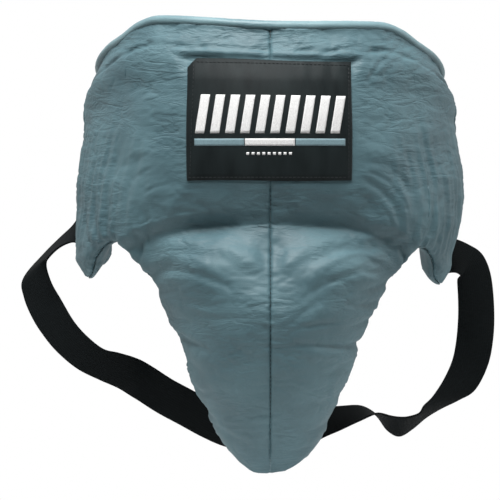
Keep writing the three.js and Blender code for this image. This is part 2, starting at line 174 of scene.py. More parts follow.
# ---- The body's design surface, in the frame's own formulas -------------------------------------
front_y = profile([
    (0, -60), (12, -76), (30, -92), (60, -111), (95, -124), (125, -128), (155, -122), (174, -109),
    (187, -98), (200, -107), (222, -115), (262, -118), (298, -113), (316, -103), (326, -99), (341, -97),
])
cup_edge_y = profile([(0, -50), (12, -44), (40, -42), (90, -50), (140, -60), (175, -63.2)])
cup_half_width = profile([
    (0, 8), (4, 18), (12, 30), (25, 40.5), (49, 52.5), (74, 64.5), (99, 71.5), (117, 82),
    (142, 93), (154, 103), (166, 113), (175, 120.6),
])
top_edge = profile([
    (0, TOP_HEIGHT), (45, 340), (55, 335), (64, 326), (76, 318), (90, 308), (112, 298),
])
flap_edge = profile([
    (53, ARCH_HEIGHT), (60, 172), (66, 164), (72, 154), (79, 148), (88, 147), (100, 151), (112, 162),
])


def sine(degrees):
    return np.sin(np.radians(degrees))


def cosine(degrees):
    return np.cos(np.radians(degrees))


def crease_drop(row):
    return CREASE_DROP * smooth(60, 185, row) * (1 - smooth(205, 320, row))


def hip_half_width(h):
    taper = WAIST_TAPER * (np.maximum(0, h - HIP_WIDEST_HEIGHT) / TAPER_SPAN) ** 2
    return HIP_HALF_WIDTH - taper - TIP_NARROWING * (1 - smooth(TIP_FROM, TIP_TO, h))


def upper_stack(angle, h, row, edge):
    """Full thickness above the arch. edge is the distance to the nearest free edge."""
    front = np.maximum(COLLAR_STACK, ABDOMEN_Y - front_y(row))
    hip = mix(EDGE_STACK, HIP_STACK, smooth(0, 16, edge)) * mix(TIP_PINCH, 1, smooth(TIP_FROM, TIP_TO, h))
    below_top = top_edge(angle) - h
    side = mix(COLLAR_STACK, hip, smooth(COLLAR_DEPTH - 8, COLLAR_DEPTH + 10, below_top))
    return mix(front, side, smooth(25, FRONT_ANGLE, angle))


def settle(x, h):
    """The soft body doesn't hang quite level."""
    hang = smooth(70, 125, x) * smooth(110, 150, h) * (1 - smooth(190, 290, h))
    tilt = np.clip(x, -100, 100) * smooth(250, TOP_HEIGHT, h)
    return h - RIGHT_HANG * hang - TOP_TILT * tilt


def central_points(row, across):
    """Right-hand central strip: places (x, y, h), ways in, plan angles and the share of the upper body."""
    row, across = np.broadcast_arrays(np.asarray(row, float), np.asarray(across, float))
    edge_height = row - crease_drop(row)
    upper = smooth(176, CREASE_ROW, row)
    sweep = mix(CUP_SWEEP, FRONT_ANGLE, smooth(150, CREASE_ROW, row))
    angle = sweep * across
    lift = (top_edge(angle) - TOP_HEIGHT) * smooth(290, TOP_HEIGHT, row)
    h = row - crease_drop(row) * across**3 + lift
    above = row >= CREASE_ROW
    half = np.where(above, hip_half_width(h) * sine(FRONT_ANGLE), cup_half_width(edge_height))
    edge_y = np.where(above, -HIP_DEPTH * cosine(FRONT_ANGLE), cup_edge_y(edge_height))
    x = half * sine(angle) / sine(sweep)
    y = front_y(row) + (edge_y - front_y(row)) / (1 - cosine(sweep)) * (1 - cosine(angle))
    to_spine = unit(np.stack([-x, edge_y - y, SPINE_LIFT * (1 - smooth(0, 90, row))], -1))
    radial = np.stack([-sine(angle), cosine(angle), 0 * angle], -1)
    way = unit(to_spine + (radial - to_spine) * upper[..., None])
    return np.stack([x, y, h], -1), way, angle, upper


def hip_points(row, angle):
    """Right-hand hip strip: places and ways in."""
    row, angle = np.broadcast_arrays(np.asarray(row, float), np.asarray(angle, float))
    arch_side = central_points(row, 1.0)[0][..., 2]
    rise = (arch_side - ARCH_HEIGHT) / (float(top_edge(FRONT_ANGLE)) - ARCH_HEIGHT)
    h = mix(flap_edge(angle), top_edge(angle), rise)
    places = np.stack([hip_half_width(h) * sine(angle), -HIP_DEPTH * cosine(angle), h], -1)
    return places, np.stack([-sine(angle), cosine(angle), 0 * angle], -1)


def cup_stack(across):
    return mix(CUP_STACK, RIM_STACK, smooth(*RIM_SHARES, across))


# ---- Fine half of the body as one sheet ---------------------------------------------------------
# Distances from a free edge at which the sheet gets extra lines, to round the edge.
EDGE_LINES = np.array([0.12, 0.45, 1.0, 1.8, 2.8, 4.0, 5.4, 7.0, 8.8])
# Shares of the way across at which it gets extra lines, to sink the centre seam.
SEAM_SHARES = [0, 0.006, 0.013, 0.022, 0.033]


def sheet_lines(step):
    """Row heights, across shares and hip angles of the fine sheet."""
    inward = EDGE_LINES[::-1]
    rows = np.concatenate([
        [0], EDGE_LINES, np.arange(10.5, CREASE_ROW - 0.5, step), [CREASE_ROW], CREASE_ROW + EDGE_LINES,
        np.arange(CREASE_ROW + 10.5, TOP_HEIGHT - 0.5, step), [TOP_HEIGHT],
    ])
    across = np.concatenate([
        SEAM_SHARES, np.arange(0.046, 0.9, step / CENTRAL_ARC), 1 - inward / RIM_ARC, [1],
    ])
    angles = np.concatenate([
        np.arange(FRONT_ANGLE, REAR_ANGLE - 3.8, step / HIP_ARC), REAR_ANGLE - inward / HIP_ARC, [REAR_ANGLE],
    ])
    return rows, across, angles


def joined(central, hip):
    """The values of the central and the hip grid in one list."""
    return np.concatenate([central.reshape(-1, *central.shape[2:]), hip.reshape(-1, *hip.shape[2:])])


def half_body(step):
    """The right-hand half as arrays: places, ways in, thickness, distance to the free edge, faces, ..."""
    rows, across, angles = sheet_lines(step)
    central, central_way, central_angle, upper = central_points(rows[:, None], across[None, :])
    first = int(np.searchsorted(rows, CREASE_ROW))
    hip, hip_way = hip_points(rows[first:, None], angles[None, 1:])
    size, hip_size = central.shape[:2], hip.shape[:2]
    index = grid_index(size)
    hip_index = np.concatenate([index[first:, -1:], index.size + grid_index(hip_size)], axis=1)
    bottom, arch_side = index[0, 1:], index[1 : first + 1, -1]
    half = {
        "place": joined(central, hip),
        "way": joined(central_way, hip_way),
        "angle": joined(central_angle, np.broadcast_to(angles[None, 1:], hip_size)),
        "upper": joined(upper, np.ones(hip_size)),
        "row": joined(np.broadcast_to(rows[:, None], size), np.broadcast_to(rows[first:, None], hip_size)),
        "across": joined(np.broadcast_to(across[None, :], size), np.ones(hip_size)),
        "quads": np.concatenate([grid_quads(index), grid_quads(hip_index)]),
        "rim": np.concatenate([bottom, arch_side, hip_index[0, 1:], hip_index[1:, -1]]),
    }
    measure_edge(half)
    return half


def measure_edge(half):
    """Adds each point's distance to the free edge and the edge length run at the nearest edge point."""
    line = half["place"][half["rim"]]
    run = run_along(line)
    points = at_run(line, run, np.arange(0, run[-1], 1.0))
    tree = kdtree.KDTree(len(points))
    for i, point in enumerate(points):
        tree.insert(point, i)
    tree.balance()
    found = [tree.find(p) for p in half["place"]]
    half["edge"] = np.array([f[2] for f in found])
    half["run"] = np.array([float(f[1]) for f in found])
    half["edge"][half["rim"]] = 0
    hips = upper_stack(half["angle"], half["place"][:, 2], half["row"], half["edge"])
    half["stack"] = mix(cup_stack(half["across"]), hips, half["upper"])


def lean(x, h):
    """The right wing's lower end is drawn in towards the leg."""
    return x - RIGHT_LEAN * smooth(90, 150, x) * (1 - smooth(160, 215, h))


def to_frame(side, places):
    """Millimetres in the right half's own frame to the object's frame, in metres."""
    h = places[:, 2]
    x = lean(side * places[:, 0], h)
    z = settle(x, h) - WAIST_HEIGHT - TIP_DROP * (1 - smooth(0, 45, h))
    return np.stack([x, places[:, 1], z], -1) * MM


def normals_of(points, quads):
    """Ways out at the corners of a sheet."""
    a, b, c, d = (points[quads[:, i]] for i in range(4))
    face = np.cross(c - a, d - b)
    total = np.zeros_like(points)
    for i in range(4):
        np.add.at(total, quads[:, i], face)
    return total / np.maximum(np.linalg.norm(total, axis=1, keepdims=True), 1e-12)


def closed_shell(outer, inner, quads):
    """Vertices and faces of a closed solid between two sheets that share their quads."""
    count = len(outer)
    edges = {}
    for quad in quads.tolist():
        for a, b in zip(quad, quad[1:] + quad[:1]):
            if edges.pop((b, a), None) is None:
                edges[(a, b)] = True
    walls = [(b, a, a + count, b + count) for a, b in edges]
    faces = quads.tolist() + (quads[:, ::-1] + count).tolist() + walls
    return np.concatenate([outer, inner]), faces


def mesh_object(name, points, faces, material, body=None):
    mesh = bpy.data.meshes.new(name)
    mesh.from_pydata([tuple(p) for p in points], [], [tuple(f) for f in faces])
    mesh.validate()
    mesh.update()
    mesh.polygons.foreach_set("use_smooth", [True] * len(mesh.polygons))
    made = bpy.data.objects.new(name, mesh)
    bpy.context.scene.collection.objects.link(made)
    made.data.materials.append(material)
    if body:
        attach(made, body)
    return made


# ---- Stage, camera and light --------------------------------------------------------------------
def add_camera():
    """A long lens at the front, level with the middle of the object."""
    data = bpy.data.cameras.new("camera")
    data.lens = 748
    data.sensor_width = 36
    camera = bpy.data.objects.new("camera", data)
    camera.location = (-0.0154, -8.0, -0.0956)
    camera.rotation_euler = (math.radians(90), 0, 0)
    bpy.context.scene.collection.objects.link(camera)
    bpy.context.scene.camera = camera


def add_stage():
    """A round, level, pale floor below the object."""
    radius = 0.42
    height = -0.33
    corners = 96
    turns = [2 * math.pi * i / corners for i in range(corners)]
    points = [(radius * math.cos(turn), radius * math.sin(turn), height) for turn in turns]
    look = Look("stage", 0.9)
    look.shader.inputs["Base Color"].default_value = (0.7, 0.7, 0.7, 1)
    stage = mesh_object("stage", points, [tuple(range(corners))], look.material)


def add_light(name, place, size, energy):
    """A soft rectangular lamp that faces the object and isn't seen itself."""
    data = bpy.data.lights.new(name, "AREA")
    data.shape = "RECTANGLE"
    data.size, data.size_y = size
    data.energy = energy
    light = bpy.data.objects.new(name, data)
    light.location = place
    light.rotation_euler = (Vector((0, 0, -0.08)) - Vector(place)).to_track_quat("-Z", "Y").to_euler()
    light.visible_camera = False
    bpy.context.scene.collection.objects.link(light)


def add_lights():
    add_light("key_top", (-0.15, -0.75, 1.35), (1.2, 0.8), 46)
    add_light("side_left", (-1.35, 0.25, 0.3), (0.8, 1.5), 3)
    add_light("side_right", (1.35, 0.1, 0.35), (0.8, 1.5), 6)


def add_world():
    """A light tent, white to the camera, bright behind the object and darker in front of it."""
    world = bpy.data.worlds.new("world")
    world.use_nodes = True
    nodes, links = world.node_tree.nodes, world.node_tree.links
    background = nodes["Background"]
    background.inputs["Color"].default_value = (1, 1, 1, 1)
    direction = nodes.new("ShaderNodeTexCoord")
    parts = nodes.new("ShaderNodeSeparateXYZ")
    links.new(direction.outputs["Generated"], parts.inputs["Vector"])
    tent = nodes.new("ShaderNodeMapRange")
    tent.interpolation_type = "SMOOTHSTEP"
    tent.inputs["From Min"].default_value = -0.5
    tent.inputs["From Max"].default_value = 0.6
    tent.inputs["To Min"].default_value = 0.09
    tent.inputs["To Max"].default_value = 0.60
    links.new(parts.outputs["Y"], tent.inputs["Value"])
    path = nodes.new("ShaderNodeLightPath")
    brighter = nodes.new("ShaderNodeMath")
    brighter.operation = "MAXIMUM"
    links.new(tent.outputs["Result"], brighter.inputs[0])
    links.new(path.outputs["Is Camera Ray"], brighter.inputs[1])
    links.new(brighter.outputs["Value"], background.inputs["Strength"])
    bpy.context.scene.world = world
    bpy.context.scene.view_settings.view_transform = "Standard"


# ---- Materials ----------------------------------------------------------------------------------
NOISE = "ShaderNodeTexNoise"
CELLS = "ShaderNodeTexVoronoi"


def scaled(color, factor):
    return tuple(channel * factor for channel in color)


class Look:
    """A Principled material and short ways to add nodes to it."""

    def __init__(self, name, roughness, specular=0.5):
        self.material = bpy.data.materials.new(name)
        self.material.use_nodes = True
        self.nodes = self.material.node_tree.nodes
        self.links = self.material.node_tree.links
        self.shader = self.nodes["Principled BSDF"]
        self.shader.inputs["Roughness"].default_value = roughness
        self.shader.inputs["Specular IOR Level"].default_value = specular

    def texture(self, kind, scale, **settings):
        """A texture of the object's own space. scale: units per metre along x, y and z."""
        place = self.nodes.new("ShaderNodeTexCoord")
        mapping = self.nodes.new("ShaderNodeMapping")
        mapping.inputs["Scale"].default_value = scale
        self.links.new(place.outputs["Object"], mapping.inputs["Vector"])
        made = self.nodes.new(kind)
        made.inputs["Scale"].default_value = 1.0
        for key, value in settings.items():
            if key in made.inputs:
                made.inputs[key].default_value = value
            else:
                setattr(made, key, value)
        self.links.new(mapping.outputs["Vector"], made.inputs["Vector"])
        return made.outputs["Distance" if kind == CELLS else "Fac"]

    def math(self, operation, a, b=None):
        node = self.nodes.new("ShaderNodeMath")
        node.operation = operation
        for i, value in enumerate((a, b)):
            if isinstance(value, (int, float)):
                node.inputs[i].default_value = value
            elif value is not None:
                self.links.new(value, node.inputs[i])
        return node.outputs["Value"]

    def ramp(self, source, *stops):
        """Colours or grey levels over a value: stops are (value, color or level)."""
        node = self.nodes.new("ShaderNodeValToRGB")
        elements = node.color_ramp.elements
        for element, stop in ((elements[0], stops[0]), (elements[1], stops[-1])):
            element.position = stop[0]
        for position, _ in stops[1:-1]:
            elements.new(position)
        for element, (_, tone) in zip(elements, stops):
            level = tone if isinstance(tone, tuple) else (tone, tone, tone)
            element.color = (*level, 1)
        self.links.new(source, node.inputs["Fac"])
        return node.outputs["Color"]

    def multiply(self, a, b):
        node = self.nodes.new("ShaderNodeMix")
        node.data_type = "RGBA"
        node.blend_type = "MULTIPLY"
        node.inputs["Factor"].default_value = 1.0
        self.links.new(a, node.inputs[6])
        self.links.new(b, node.inputs[7])
        return node.outputs[2]

    def color(self, source):
        self.links.new(source, self.shader.inputs["Base Color"])

    def bumps(self, *layers):
        """Bumps on top of each other: (height, strength, distance in metres)."""
        normal = None
        for height, strength, distance in layers:
            node = self.nodes.new("ShaderNodeBump")
            node.inputs["Strength"].default_value = strength
            node.inputs["Distance"].default_value = distance
            self.links.new(height, node.inputs["Height"])
            if normal is not None:
                self.links.new(normal, node.inputs["Normal"])
            normal = node.outputs["Normal"]
        self.links.new(normal, self.shader.inputs["Normal"])


def crinkles(look, scale, seed, mask):
    """Thin wandering crease lines where the mask is 1: 0 on a line, up to 1 between them."""
    waves = look.texture(
        NOISE, scale, Detail=3.0, Roughness=0.55, Distortion=0.7, noise_dimensions="4D", W=seed)
    folded = look.math("ABSOLUTE", look.math("SUBTRACT", waves, 0.5))
    height = look.math("MINIMUM", look.math("MULTIPLY", folded, 9.0), 1.0)
    dip = look.math("SUBTRACT", 1.0, height)
    return look.math("SUBTRACT", 1.0, look.math("MULTIPLY", dip, mask))


def leather(name, dark, mid, light, roughness, crinkle=1.0):
    """Soft glove leather: fine grain, patches of thin drawn-out creases with painted shade in them, slight
    mottling.
    """
    look = Look(name, roughness)
    cells = look.texture(CELLS, (1300, 1300, 1300), feature="DISTANCE_TO_EDGE")
    grain = look.math("MINIMUM", cells, 0.25)
    patches = look.texture(NOISE, (26, 26, 26), Detail=4.0)
    creased = look.ramp(look.texture(NOISE, (17, 17, 21), Detail=2.0), (0.38, 0.12), (0.58, 1))
    long_lines = crinkles(look, (34, 34, 130), 3.1, creased)
    short_lines = crinkles(look, (150, 150, 330), 7.7, creased)
    mottled = look.ramp(patches, (0.3, dark), (0.52, mid), (0.75, light))
    grained = look.multiply(mottled, look.ramp(grain, (0.0, 0.86), (0.16, 1)))
    # Painted shade: the colour is a little darker along the long crease lines.
    look.color(look.multiply(grained, look.ramp(long_lines, (0.0, (0.90, 0.91, 0.92)), (0.3, 1))))
    worn = look.ramp(patches, (0.3, roughness - 0.05), (0.7, roughness + 0.07))
    look.links.new(worn, look.shader.inputs["Roughness"])
    look.bumps(
        (long_lines, 0.36 * crinkle, 0.0010), (short_lines, 0.16 * crinkle, 0.0005), (grain, 0.22, 0.0004))
    return look.material


def webbing(name, color, rib, pick=1.1):
    """Woven elastic: ribs along its length and a fine cross weave, from its own UVs in millimetres."""
    look = Look(name, 0.8, 0.14)
    parts = look.nodes.new("ShaderNodeSeparateXYZ")
    look.links.new(look.nodes.new("ShaderNodeUVMap").outputs["UV"], parts.inputs["Vector"])
    ribs = look.math("SINE", look.math("MULTIPLY", parts.outputs["X"], 2 * math.pi / rib))
    along = look.math("MULTIPLY", parts.outputs["Y"], 2 * math.pi / pick)
    picks = look.math("SINE", look.math("ADD", along, ribs))
    height = look.math("ADD", look.math("MULTIPLY", ribs, 0.6), picks)
    fuzz = look.texture(NOISE, (1500, 1500, 1500), Detail=2.0)
    look.color(look.ramp(height, (0.0, scaled(color, 0.6)), (1.0, scaled(color, 1.5))))
    look.bumps((height, 0.35, 0.0003), (fuzz, 0.3, 0.0002))
    return look.material


def satin(name, dark, light):
    """Woven label satin: fine twill lines, and a soft vertical sheen painted into its colour."""
    look = Look(name, 0.58, 0.22)
    twill = look.texture("ShaderNodeTexWave", (700, 700, 700), Distortion=0.4, bands_direction="DIAGONAL")
    sheen_streaks = look.texture(NOISE, (90, 90, 22), Detail=3.0)
    # Painted sheen: the colour is lighter along soft vertical streaks.
    look.color(look.ramp(sheen_streaks, (0.3, dark), (0.75, light)))
    look.bumps((twill, 0.25, 0.0002), (sheen_streaks, 0.2, 0.0008))
    return look.material


def textured(look, texture, low, high, strength, distance):
    """Lets one texture both colour and roughen a material. low and high: (value, color)."""
    look.color(look.ramp(texture, low, high))
    look.bumps((texture, strength, distance))
    return look.material


def thread(name, color):
    """Twisted sewing or embroidery thread."""
    look = Look(name, 0.6)
    twist = look.texture(NOISE, (2200, 2200, 900), Detail=3.0)
    return textured(look, twist, (0.3, scaled(color, 0.72)), (0.7, color), 0.4, 0.0002)


def pile(name, color, scale, roughness):
    """Brushed loops or stiff hooks."""
    look = Look(name, roughness, 0.2)
    tufts = look.texture(CELLS, (scale, scale, scale))
    return textured(look, tufts, (0.0, scaled(color, 1.9)), (0.7, scaled(color, 0.5)), 0.8, 0.0006)


def foam_material():
    look = Look("foam", 0.95)
    cells = look.texture(CELLS, (900, 900, 900))
    return textured(look, cells, (0.0, (0.5, 0.46, 0.37)), (0.8, (0.68, 0.64, 0.54)), 0.4, 0.0006)


def cup_plastic():
    look = Look("cup_plastic", 0.38)
    flow = look.texture(NOISE, (320, 320, 320), Detail=2.0)
    return textured(look, flow, (0.3, (0.58, 0.6, 0.61)), (0.7, (0.66, 0.68, 0.69)), 0.15, 0.0003)


# ---- Leather folds ------------------------------------------------------------------------------
# Single folds seen from the front: start, middle and end (x, h), width and height in millimetres.
# A negative height is a groove.
FOLDS = [
    # left wing
    ((-135, 210), (-134, 185), (-127, 175), 2.2, -1.5), ((-143, 210), (-142, 184), (-136, 174), 2.0, -1.2),
    ((-122, 206), (-126, 189), (-124, 177), 2.4, -1.2), ((-115, 216), (-118, 196), (-121, 178), 2.6, -0.9),
    ((-146, 222), (-147, 200), (-144, 178), 2.4, -0.8), ((-109, 200), (-110, 187), (-113, 176), 2.6, -0.7),
    ((-96, 198), (-94, 187), (-93, 174), 2.2, -1.4), ((-105, 223), (-96, 229), (-87, 233), 1.5, -0.5),
    ((-100, 210), (-88, 217), (-75, 219), 1.5, -0.5), ((-103, 182), (-99, 170), (-104, 158), 2.4, -2.0),
    # right wing
    ((64, 224), (90, 210), (102, 180), 3.0, -0.9), ((69, 231), (98, 214), (108, 179), 1.8, -0.6),
    ((81, 236), (106, 218), (113, 178), 3.4, -1.0), ((124, 214), (124, 190), (119, 174), 2.2, -1.6),
    ((133, 186), (132, 174), (127, 167), 2.0, -1.1), ((115, 210), (112, 186), (113, 171), 2.2, -1.1),
    ((100, 178), (104, 169), (105, 158), 2.4, -2.2), ((139, 214), (138, 196), (133, 182), 2.4, -0.9),
    ((84, 204), (91, 194), (94, 182), 2.0, -0.8), ((146, 220), (145, 200), (142, 182), 2.6, -0.8),
    # cup, left
    ((-76, 108), (-64, 101), (-50, 94), 3.2, -2.2), ((-82, 115), (-72, 109), (-60, 103), 5.5, 1.8),
    ((-55, 52), (-50, 46), (-42, 40), 2.4, -1.5), ((-96, 143), (-85, 138), (-70, 136), 3.4, -1.1),
    ((-60, 66), (-52, 61), (-45, 60), 2.4, -0.9), ((-70, 88), (-58, 80), (-46, 64), 4.0, -1.1),
    ((-94, 158), (-70, 164), (-48, 157), 4.0, 1.6), ((-95, 150), (-66, 153), (-32, 141), 3.4, -1.5),
    ((-40, 36), (-30, 28), (-18, 24), 2.6, -0.8), ((-66, 124), (-46, 117), (-24, 118), 2.6, -0.7),
    ((-76, 134), (-50, 128), (-20, 131), 3.2, -0.7), ((-30, 100), (-20, 90), (-12, 76), 4.0, -0.7),
    # cup, right
    ((78, 101), (58, 96), (22, 98), 2.8, -1.9), ((76, 93), (55, 89), (25, 91), 5.0, 1.4),
    ((49, 114), (37, 113), (20, 110), 2.2, -1.1), ((98, 150), (85, 143), (70, 137), 3.6, -1.9),
    ((90, 134), (78, 129), (60, 128), 3.0, -1.6), ((84, 118), (74, 114), (58, 110), 3.0, -1.7),
    ((62, 84), (50, 77), (40, 74), 2.8, -1.0), ((48, 42), (38, 34), (28, 31), 2.6, -0.9),
    ((92, 158), (62, 166), (30, 148), 4.0, 1.4), ((88, 148), (60, 151), (26, 132), 3.2, -1.3),
    ((60, 62), (44, 54), (30, 54), 3.2, -0.9), ((40, 132), (28, 124), (14, 112), 3.0, -0.8),
    ((36, 24), (24, 18), (10, 18), 2.4, -0.7), ((54, 50), (48, 58), (50, 70), 3.0, 0.9),
    # collar
    ((74, 333), (79, 322), (84, 316), 1.8, -0.8), ((84, 316), (79, 308), (73, 299), 1.9, -0.9),
    ((60, 331), (66, 325), (70, 318), 1.6, -0.5), ((98, 330), (90, 320), (80, 312), 1.8, -0.7),
    ((-112, 323), (-100, 326), (-86, 322), 2.0, -0.8), ((-30, 331), (-22, 326), (-12, 327), 1.5, -0.5),
    ((14, 330), (20, 325), (28, 327), 1.5, -0.5),
]
FOLD_STRENGTH = 1.5
FOLD_POINTS = 48


def bend_through(start, middle, end):
    """Points of a curve from start through middle to end."""
    start, middle, end = (np.array(point) for point in (start, middle, end))
    t = np.linspace(0, 1, FOLD_POINTS)[:, None]
    pull = 2 * middle - (start + end) / 2
    return (1 - t) ** 2 * start + 2 * t * (1 - t) * pull + t**2 * end


def fold_heights(x, h):
    """Heights of all the single folds at places seen from the front."""
    total = np.zeros_like(x)
    for start, middle, end, width, height in FOLDS:
        line = bend_through(start, middle, end)
        low, high = line.min(0) - 4 * width, line.max(0) + 4 * width
        near = (x > low[0]) & (x < high[0]) & (h > low[1]) & (h < high[1])
        if not near.any():
            continue
        offsets = np.stack([x[near], h[near]], -1)[:, None, :] - line[None]
        distances = np.linalg.norm(offsets, axis=-1)
        distance = distances.min(1)
        share = distances.argmin(1) / (FOLD_POINTS - 1)
        taper = np.sqrt(np.sin(np.pi * np.clip(share, 0.04, 0.96)))
        section = bell(distance, width) - 0.4 * bell(distance, 2.4 * width)
        total[near] += FOLD_STRENGTH * height * taper * section
    return total


# ---- Outer leather ------------------------------------------------------------------------------
def label_mask(x, h):
    """1 under the label, falling to 0 a little outside it."""
    inside_x = smooth(-8, 0, np.minimum(x - LABEL["left"], LABEL["right"] - x))
    inside_h = smooth(-8, 0, h - LABEL["bottom"]) * smooth(-4, 0, LABEL["top"] - h)
    return inside_x * inside_h


def seam_height(side, away, h):
    """The sunk centre seam, with small gathers on both sides of it."""
    busy = smooth(160, 168, h) * (1 - smooth(212, 222, h))
    busy += smooth(92, 100, h) * (1 - smooth(134, 142, h)) + (1 - smooth(46, 56, h))
    gathers = (0.4 + 0.8 * busy) * wander(h / 2.8, away / 12, side * 3.0) * bell(away, 9)
    above_tip = smooth(2, 16, h)
    return (gathers - 1.4 * bell(away, 1.1) - 0.9 * bell(away, 8)) * above_tip


def collar_height(x, row):
    """The pad's upper edge: a full, wavering roll below the thin sunk collar."""
    below = row - 318 - 3.0 * wander(x / 24, 0, 40.0) - 1.2 * wander(x / 7, 0, 44.0)
    roll = 4.2 * smooth(-26, -4, below) * (1 - smooth(-1.5, 3.0, below))
    slope = 2.8 * smooth(-1.5, 3.0, below) * (1 - smooth(4, 18, below))
    pinched = smooth(-0.15, 0.3, wander(x / 18, 0, 52.0))
    return roll + slope - 1.9 * pinched * bell(below - 2.6, 1.9)


def wing_height(side, half, x, h):
    """Hanging folds that fan out over the wings."""
    hanging = smooth(160, 180, h) * (1 - smooth(215, 285, h)) * smooth(84, 112, np.abs(x))
    at_side = smooth(74, 90, half["angle"])
    fan = np.radians(half["angle"]) * 140 * (1 + 0.0016 * (h - 175))
    waves = wander(fan / 8.0, h / 60, side * 5.0) * (1 - 0.5 * at_side)
    creases = 1 - 2.6 * np.abs(wander(fan / 9.0, h / 45, 11 + side))
    return hanging * (2.2 * waves + 0.5 * np.clip(creases, 0, 1))


def rim_height(side, half):
    """Gathers of the leather where it turns around the free edges, and the edge seam."""
    edge, run = half["edge"], half["run"]
    lumps = 1.1 * wander(run / 10, 0, 20 + side) * bell(edge - 8, 9)
    gathers = 1.15 * wander(run / 2.3, edge / 26, 30 + side) * bell(edge, 7)
    above_tip = smooth(2, 22, half["place"][:, 2])
    return (lumps + gathers) * above_tip - 1.6 * bell(edge, 1.1)


def cup_lobes(side, away, h):
    """Two rounded shoulders under the crease, a valley between them and a ridge across each."""
    shoulder, rise, reach = (50, 24, 20) if side < 0 else (56, 32, 28)
    full = 4.6 * bell(away - shoulder, 26) * bell(h - 156, 14)
    valley = 3.4 * bell(away, 19) * bell(h - 157, 19)
    above_ridge = h - (147 + rise * (1 - np.exp(-away / reach)) + 3 * wander(away / 14, 0, side))
    ridge = smooth(-9, 2, above_ridge) * (1 - smooth(3, 24, above_ridge))
    ridge = ridge * smooth(3, 16, away) * (1 - smooth(74, 92, away))
    bridge = 7.0 * bell(away, 28) * bell(h - 185, 9)
    return full - valley + 3.4 * ridge + bridge


def soft_height(side, half, x, h):
    """Swells and fine drawn lines that the label presses flat."""
    broad = 1.5 * wander(x / 32, h / 26, 9.0) + 0.55 * wander(x / 15, h / 8, 2.0)
    drawn = wander(x / 26, h / 26, 5.0)
    long_lines = np.clip(1 - 6.0 * np.abs(wander(x / 15, h / 6, 17.0)), 0, 1) * smooth(-0.15, 0.2, drawn)
    short_lines = np.clip(1 - 6.0 * np.abs(wander(x / 9, h / 9, 61.0)), 0, 1) * smooth(-0.1, 0.25, -drawn)
    slim = -1.8 * smooth(55, 85, half["angle"])
    folds = fold_heights(x, h) + wing_height(side, half, x, h) + collar_height(x, half["row"])
    return slim + broad - 0.7 * long_lines - 0.45 * short_lines + folds


def cover_height(side, half):
    """How far the outer leather stands off the design surface at each point."""
    x = side * half["place"][:, 0]
    h = half["place"][:, 2]
    away = np.abs(x)
    row = half["row"]
    clear = 1 - label_mask(x, h)
    front = 1 - smooth(0, 6, half["angle"] - FRONT_ANGLE)
    crease = bell(row - 188 - 3 * wander(x / 20, 0, 33.0), 5.0) * smooth(0.1, 0.6, half["across"])
    pad_edge = bell(row - 206, 8) * wander(x / 14, 0, 4.0)
    shaped = seam_height(side, away, h) * (0.3 + 0.7 * clear) + (1.8 * pad_edge - 1.5 * crease) * front
    shaped += 3.0 * bell(away, 9) * (1 - smooth(0, 9, h))
    shaped += cup_lobes(side, away, h) + rim_height(side, half)
    return np.maximum(shaped + soft_height(side, half, x, h) * clear, -6.0)


def shell_arrays(half, depth):
    """Places at a depth below the design surface, and the normals there that point outwards."""
    base = half["place"] + half["way"] * depth[:, None]
    normals = normals_of(base, half["quads"])
    if (normals * half["way"]).sum(1).mean() > 0:
        normals = -normals
    return base, normals


def side_depths(side, half):
    """Full thickness and edge roll of one side. The right wing's tip is fuller and turned to the front."""
    tip = smooth(62, 74, half["angle"]) * (1 - smooth(92, 106, half["angle"]))
    tip = tip * (1 - smooth(172, 205, half["place"][:, 2])) * smooth(146, 154, half["place"][:, 2])
    stack = half["stack"] + RIGHT_TIP_FULLNESS * tip * (side > 0)
    radius = stack / 2
    turn = np.clip(1 - half["edge"] / radius, 0, 1)
    return stack, radius * (1 - np.sqrt(1 - turn**2))


def body_shell(name, node, side, outer, inner, quads, material):
    """A leather shell of one half, between two faces that stop short of the middle plane."""
    for points in (outer, inner):
        points[:, 0] = np.maximum(points[:, 0], MIDDLE_CLEARANCE)
    front = to_frame(side, outer)
    points, faces = closed_shell(front, to_frame(side, inner), quads)
    if side < 0:
        faces = [face[::-1] for face in faces]
    shell = mesh_object(name, points, faces, material, "root")
    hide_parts(node)
    return front


def add_covers(material):
    """The outer leathers. Returns each side's displaced free edge and the ways out of it."""
    fine = half_body(1.5)
    edge_lines = {}
    for side, name in SIDES:
        _, roll = side_depths(side, fine)
        base, normals = shell_arrays(fine, roll)
        outer = base + normals * cover_height(side, fine)[:, None]
        inner = outer - normals * LEATHER
        front = body_shell(
            f"leather_cover_{name}", f"outer_cover_{name}", side, outer, inner, fine["quads"], material)
        rim = fine["rim"]
        facing = normals[rim] * np.array([side, 1, 1])
        edge_lines[side] = (front[rim] + facing * 0.15 * MM, facing)
    return edge_lines


def add_linings(material):
    """The inner leathers, sunk at the seams and gathered a little along the free edges."""
    coarse = half_body(2.4)
    x, _, h = coarse["place"].T
    edge, run = coarse["edge"], coarse["run"]
    for side, name in SIDES:
        stack, roll = side_depths(side, coarse)
        base, outward = shell_arrays(coarse, stack - roll)
        heights = 0.35 * wander(side * x / 14, h / 10, 50.0) - 0.9 * bell(edge, 0.9)
        heights += 0.5 * wander(run / 2.6, edge / 20, 60.0 + side) * bell(edge, 8)
        heights -= 0.7 * bell(x, 1.6)
        inward = base - outward * heights[:, None]
        body_shell(
            f"leather_lining_{name}", f"lining_{name}", side, inward, inward + outward * LEATHER,
            coarse["quads"][:, ::-1], material)


# ---- Padding ------------------------------------------------------------------------------------
UNDER_LEATHER = LEATHER + 0.5  # depth of the padding's outer face
LINING_DEPTH = 1.8  # room left for the lining
HARD_CUP_DEPTH = 7.5  # the cup's foam ends on the hard cup
RIM_PAD_DEPTH = 11.3  # and the rim pads begin behind it
PADDING_STEP = 3.0


def shares_between(low, high, length, step, extra):
    """Evenly spread values from low to high, about one step apart over a length."""
    return np.linspace(low, high, int((high - low) * length / step) + extra)


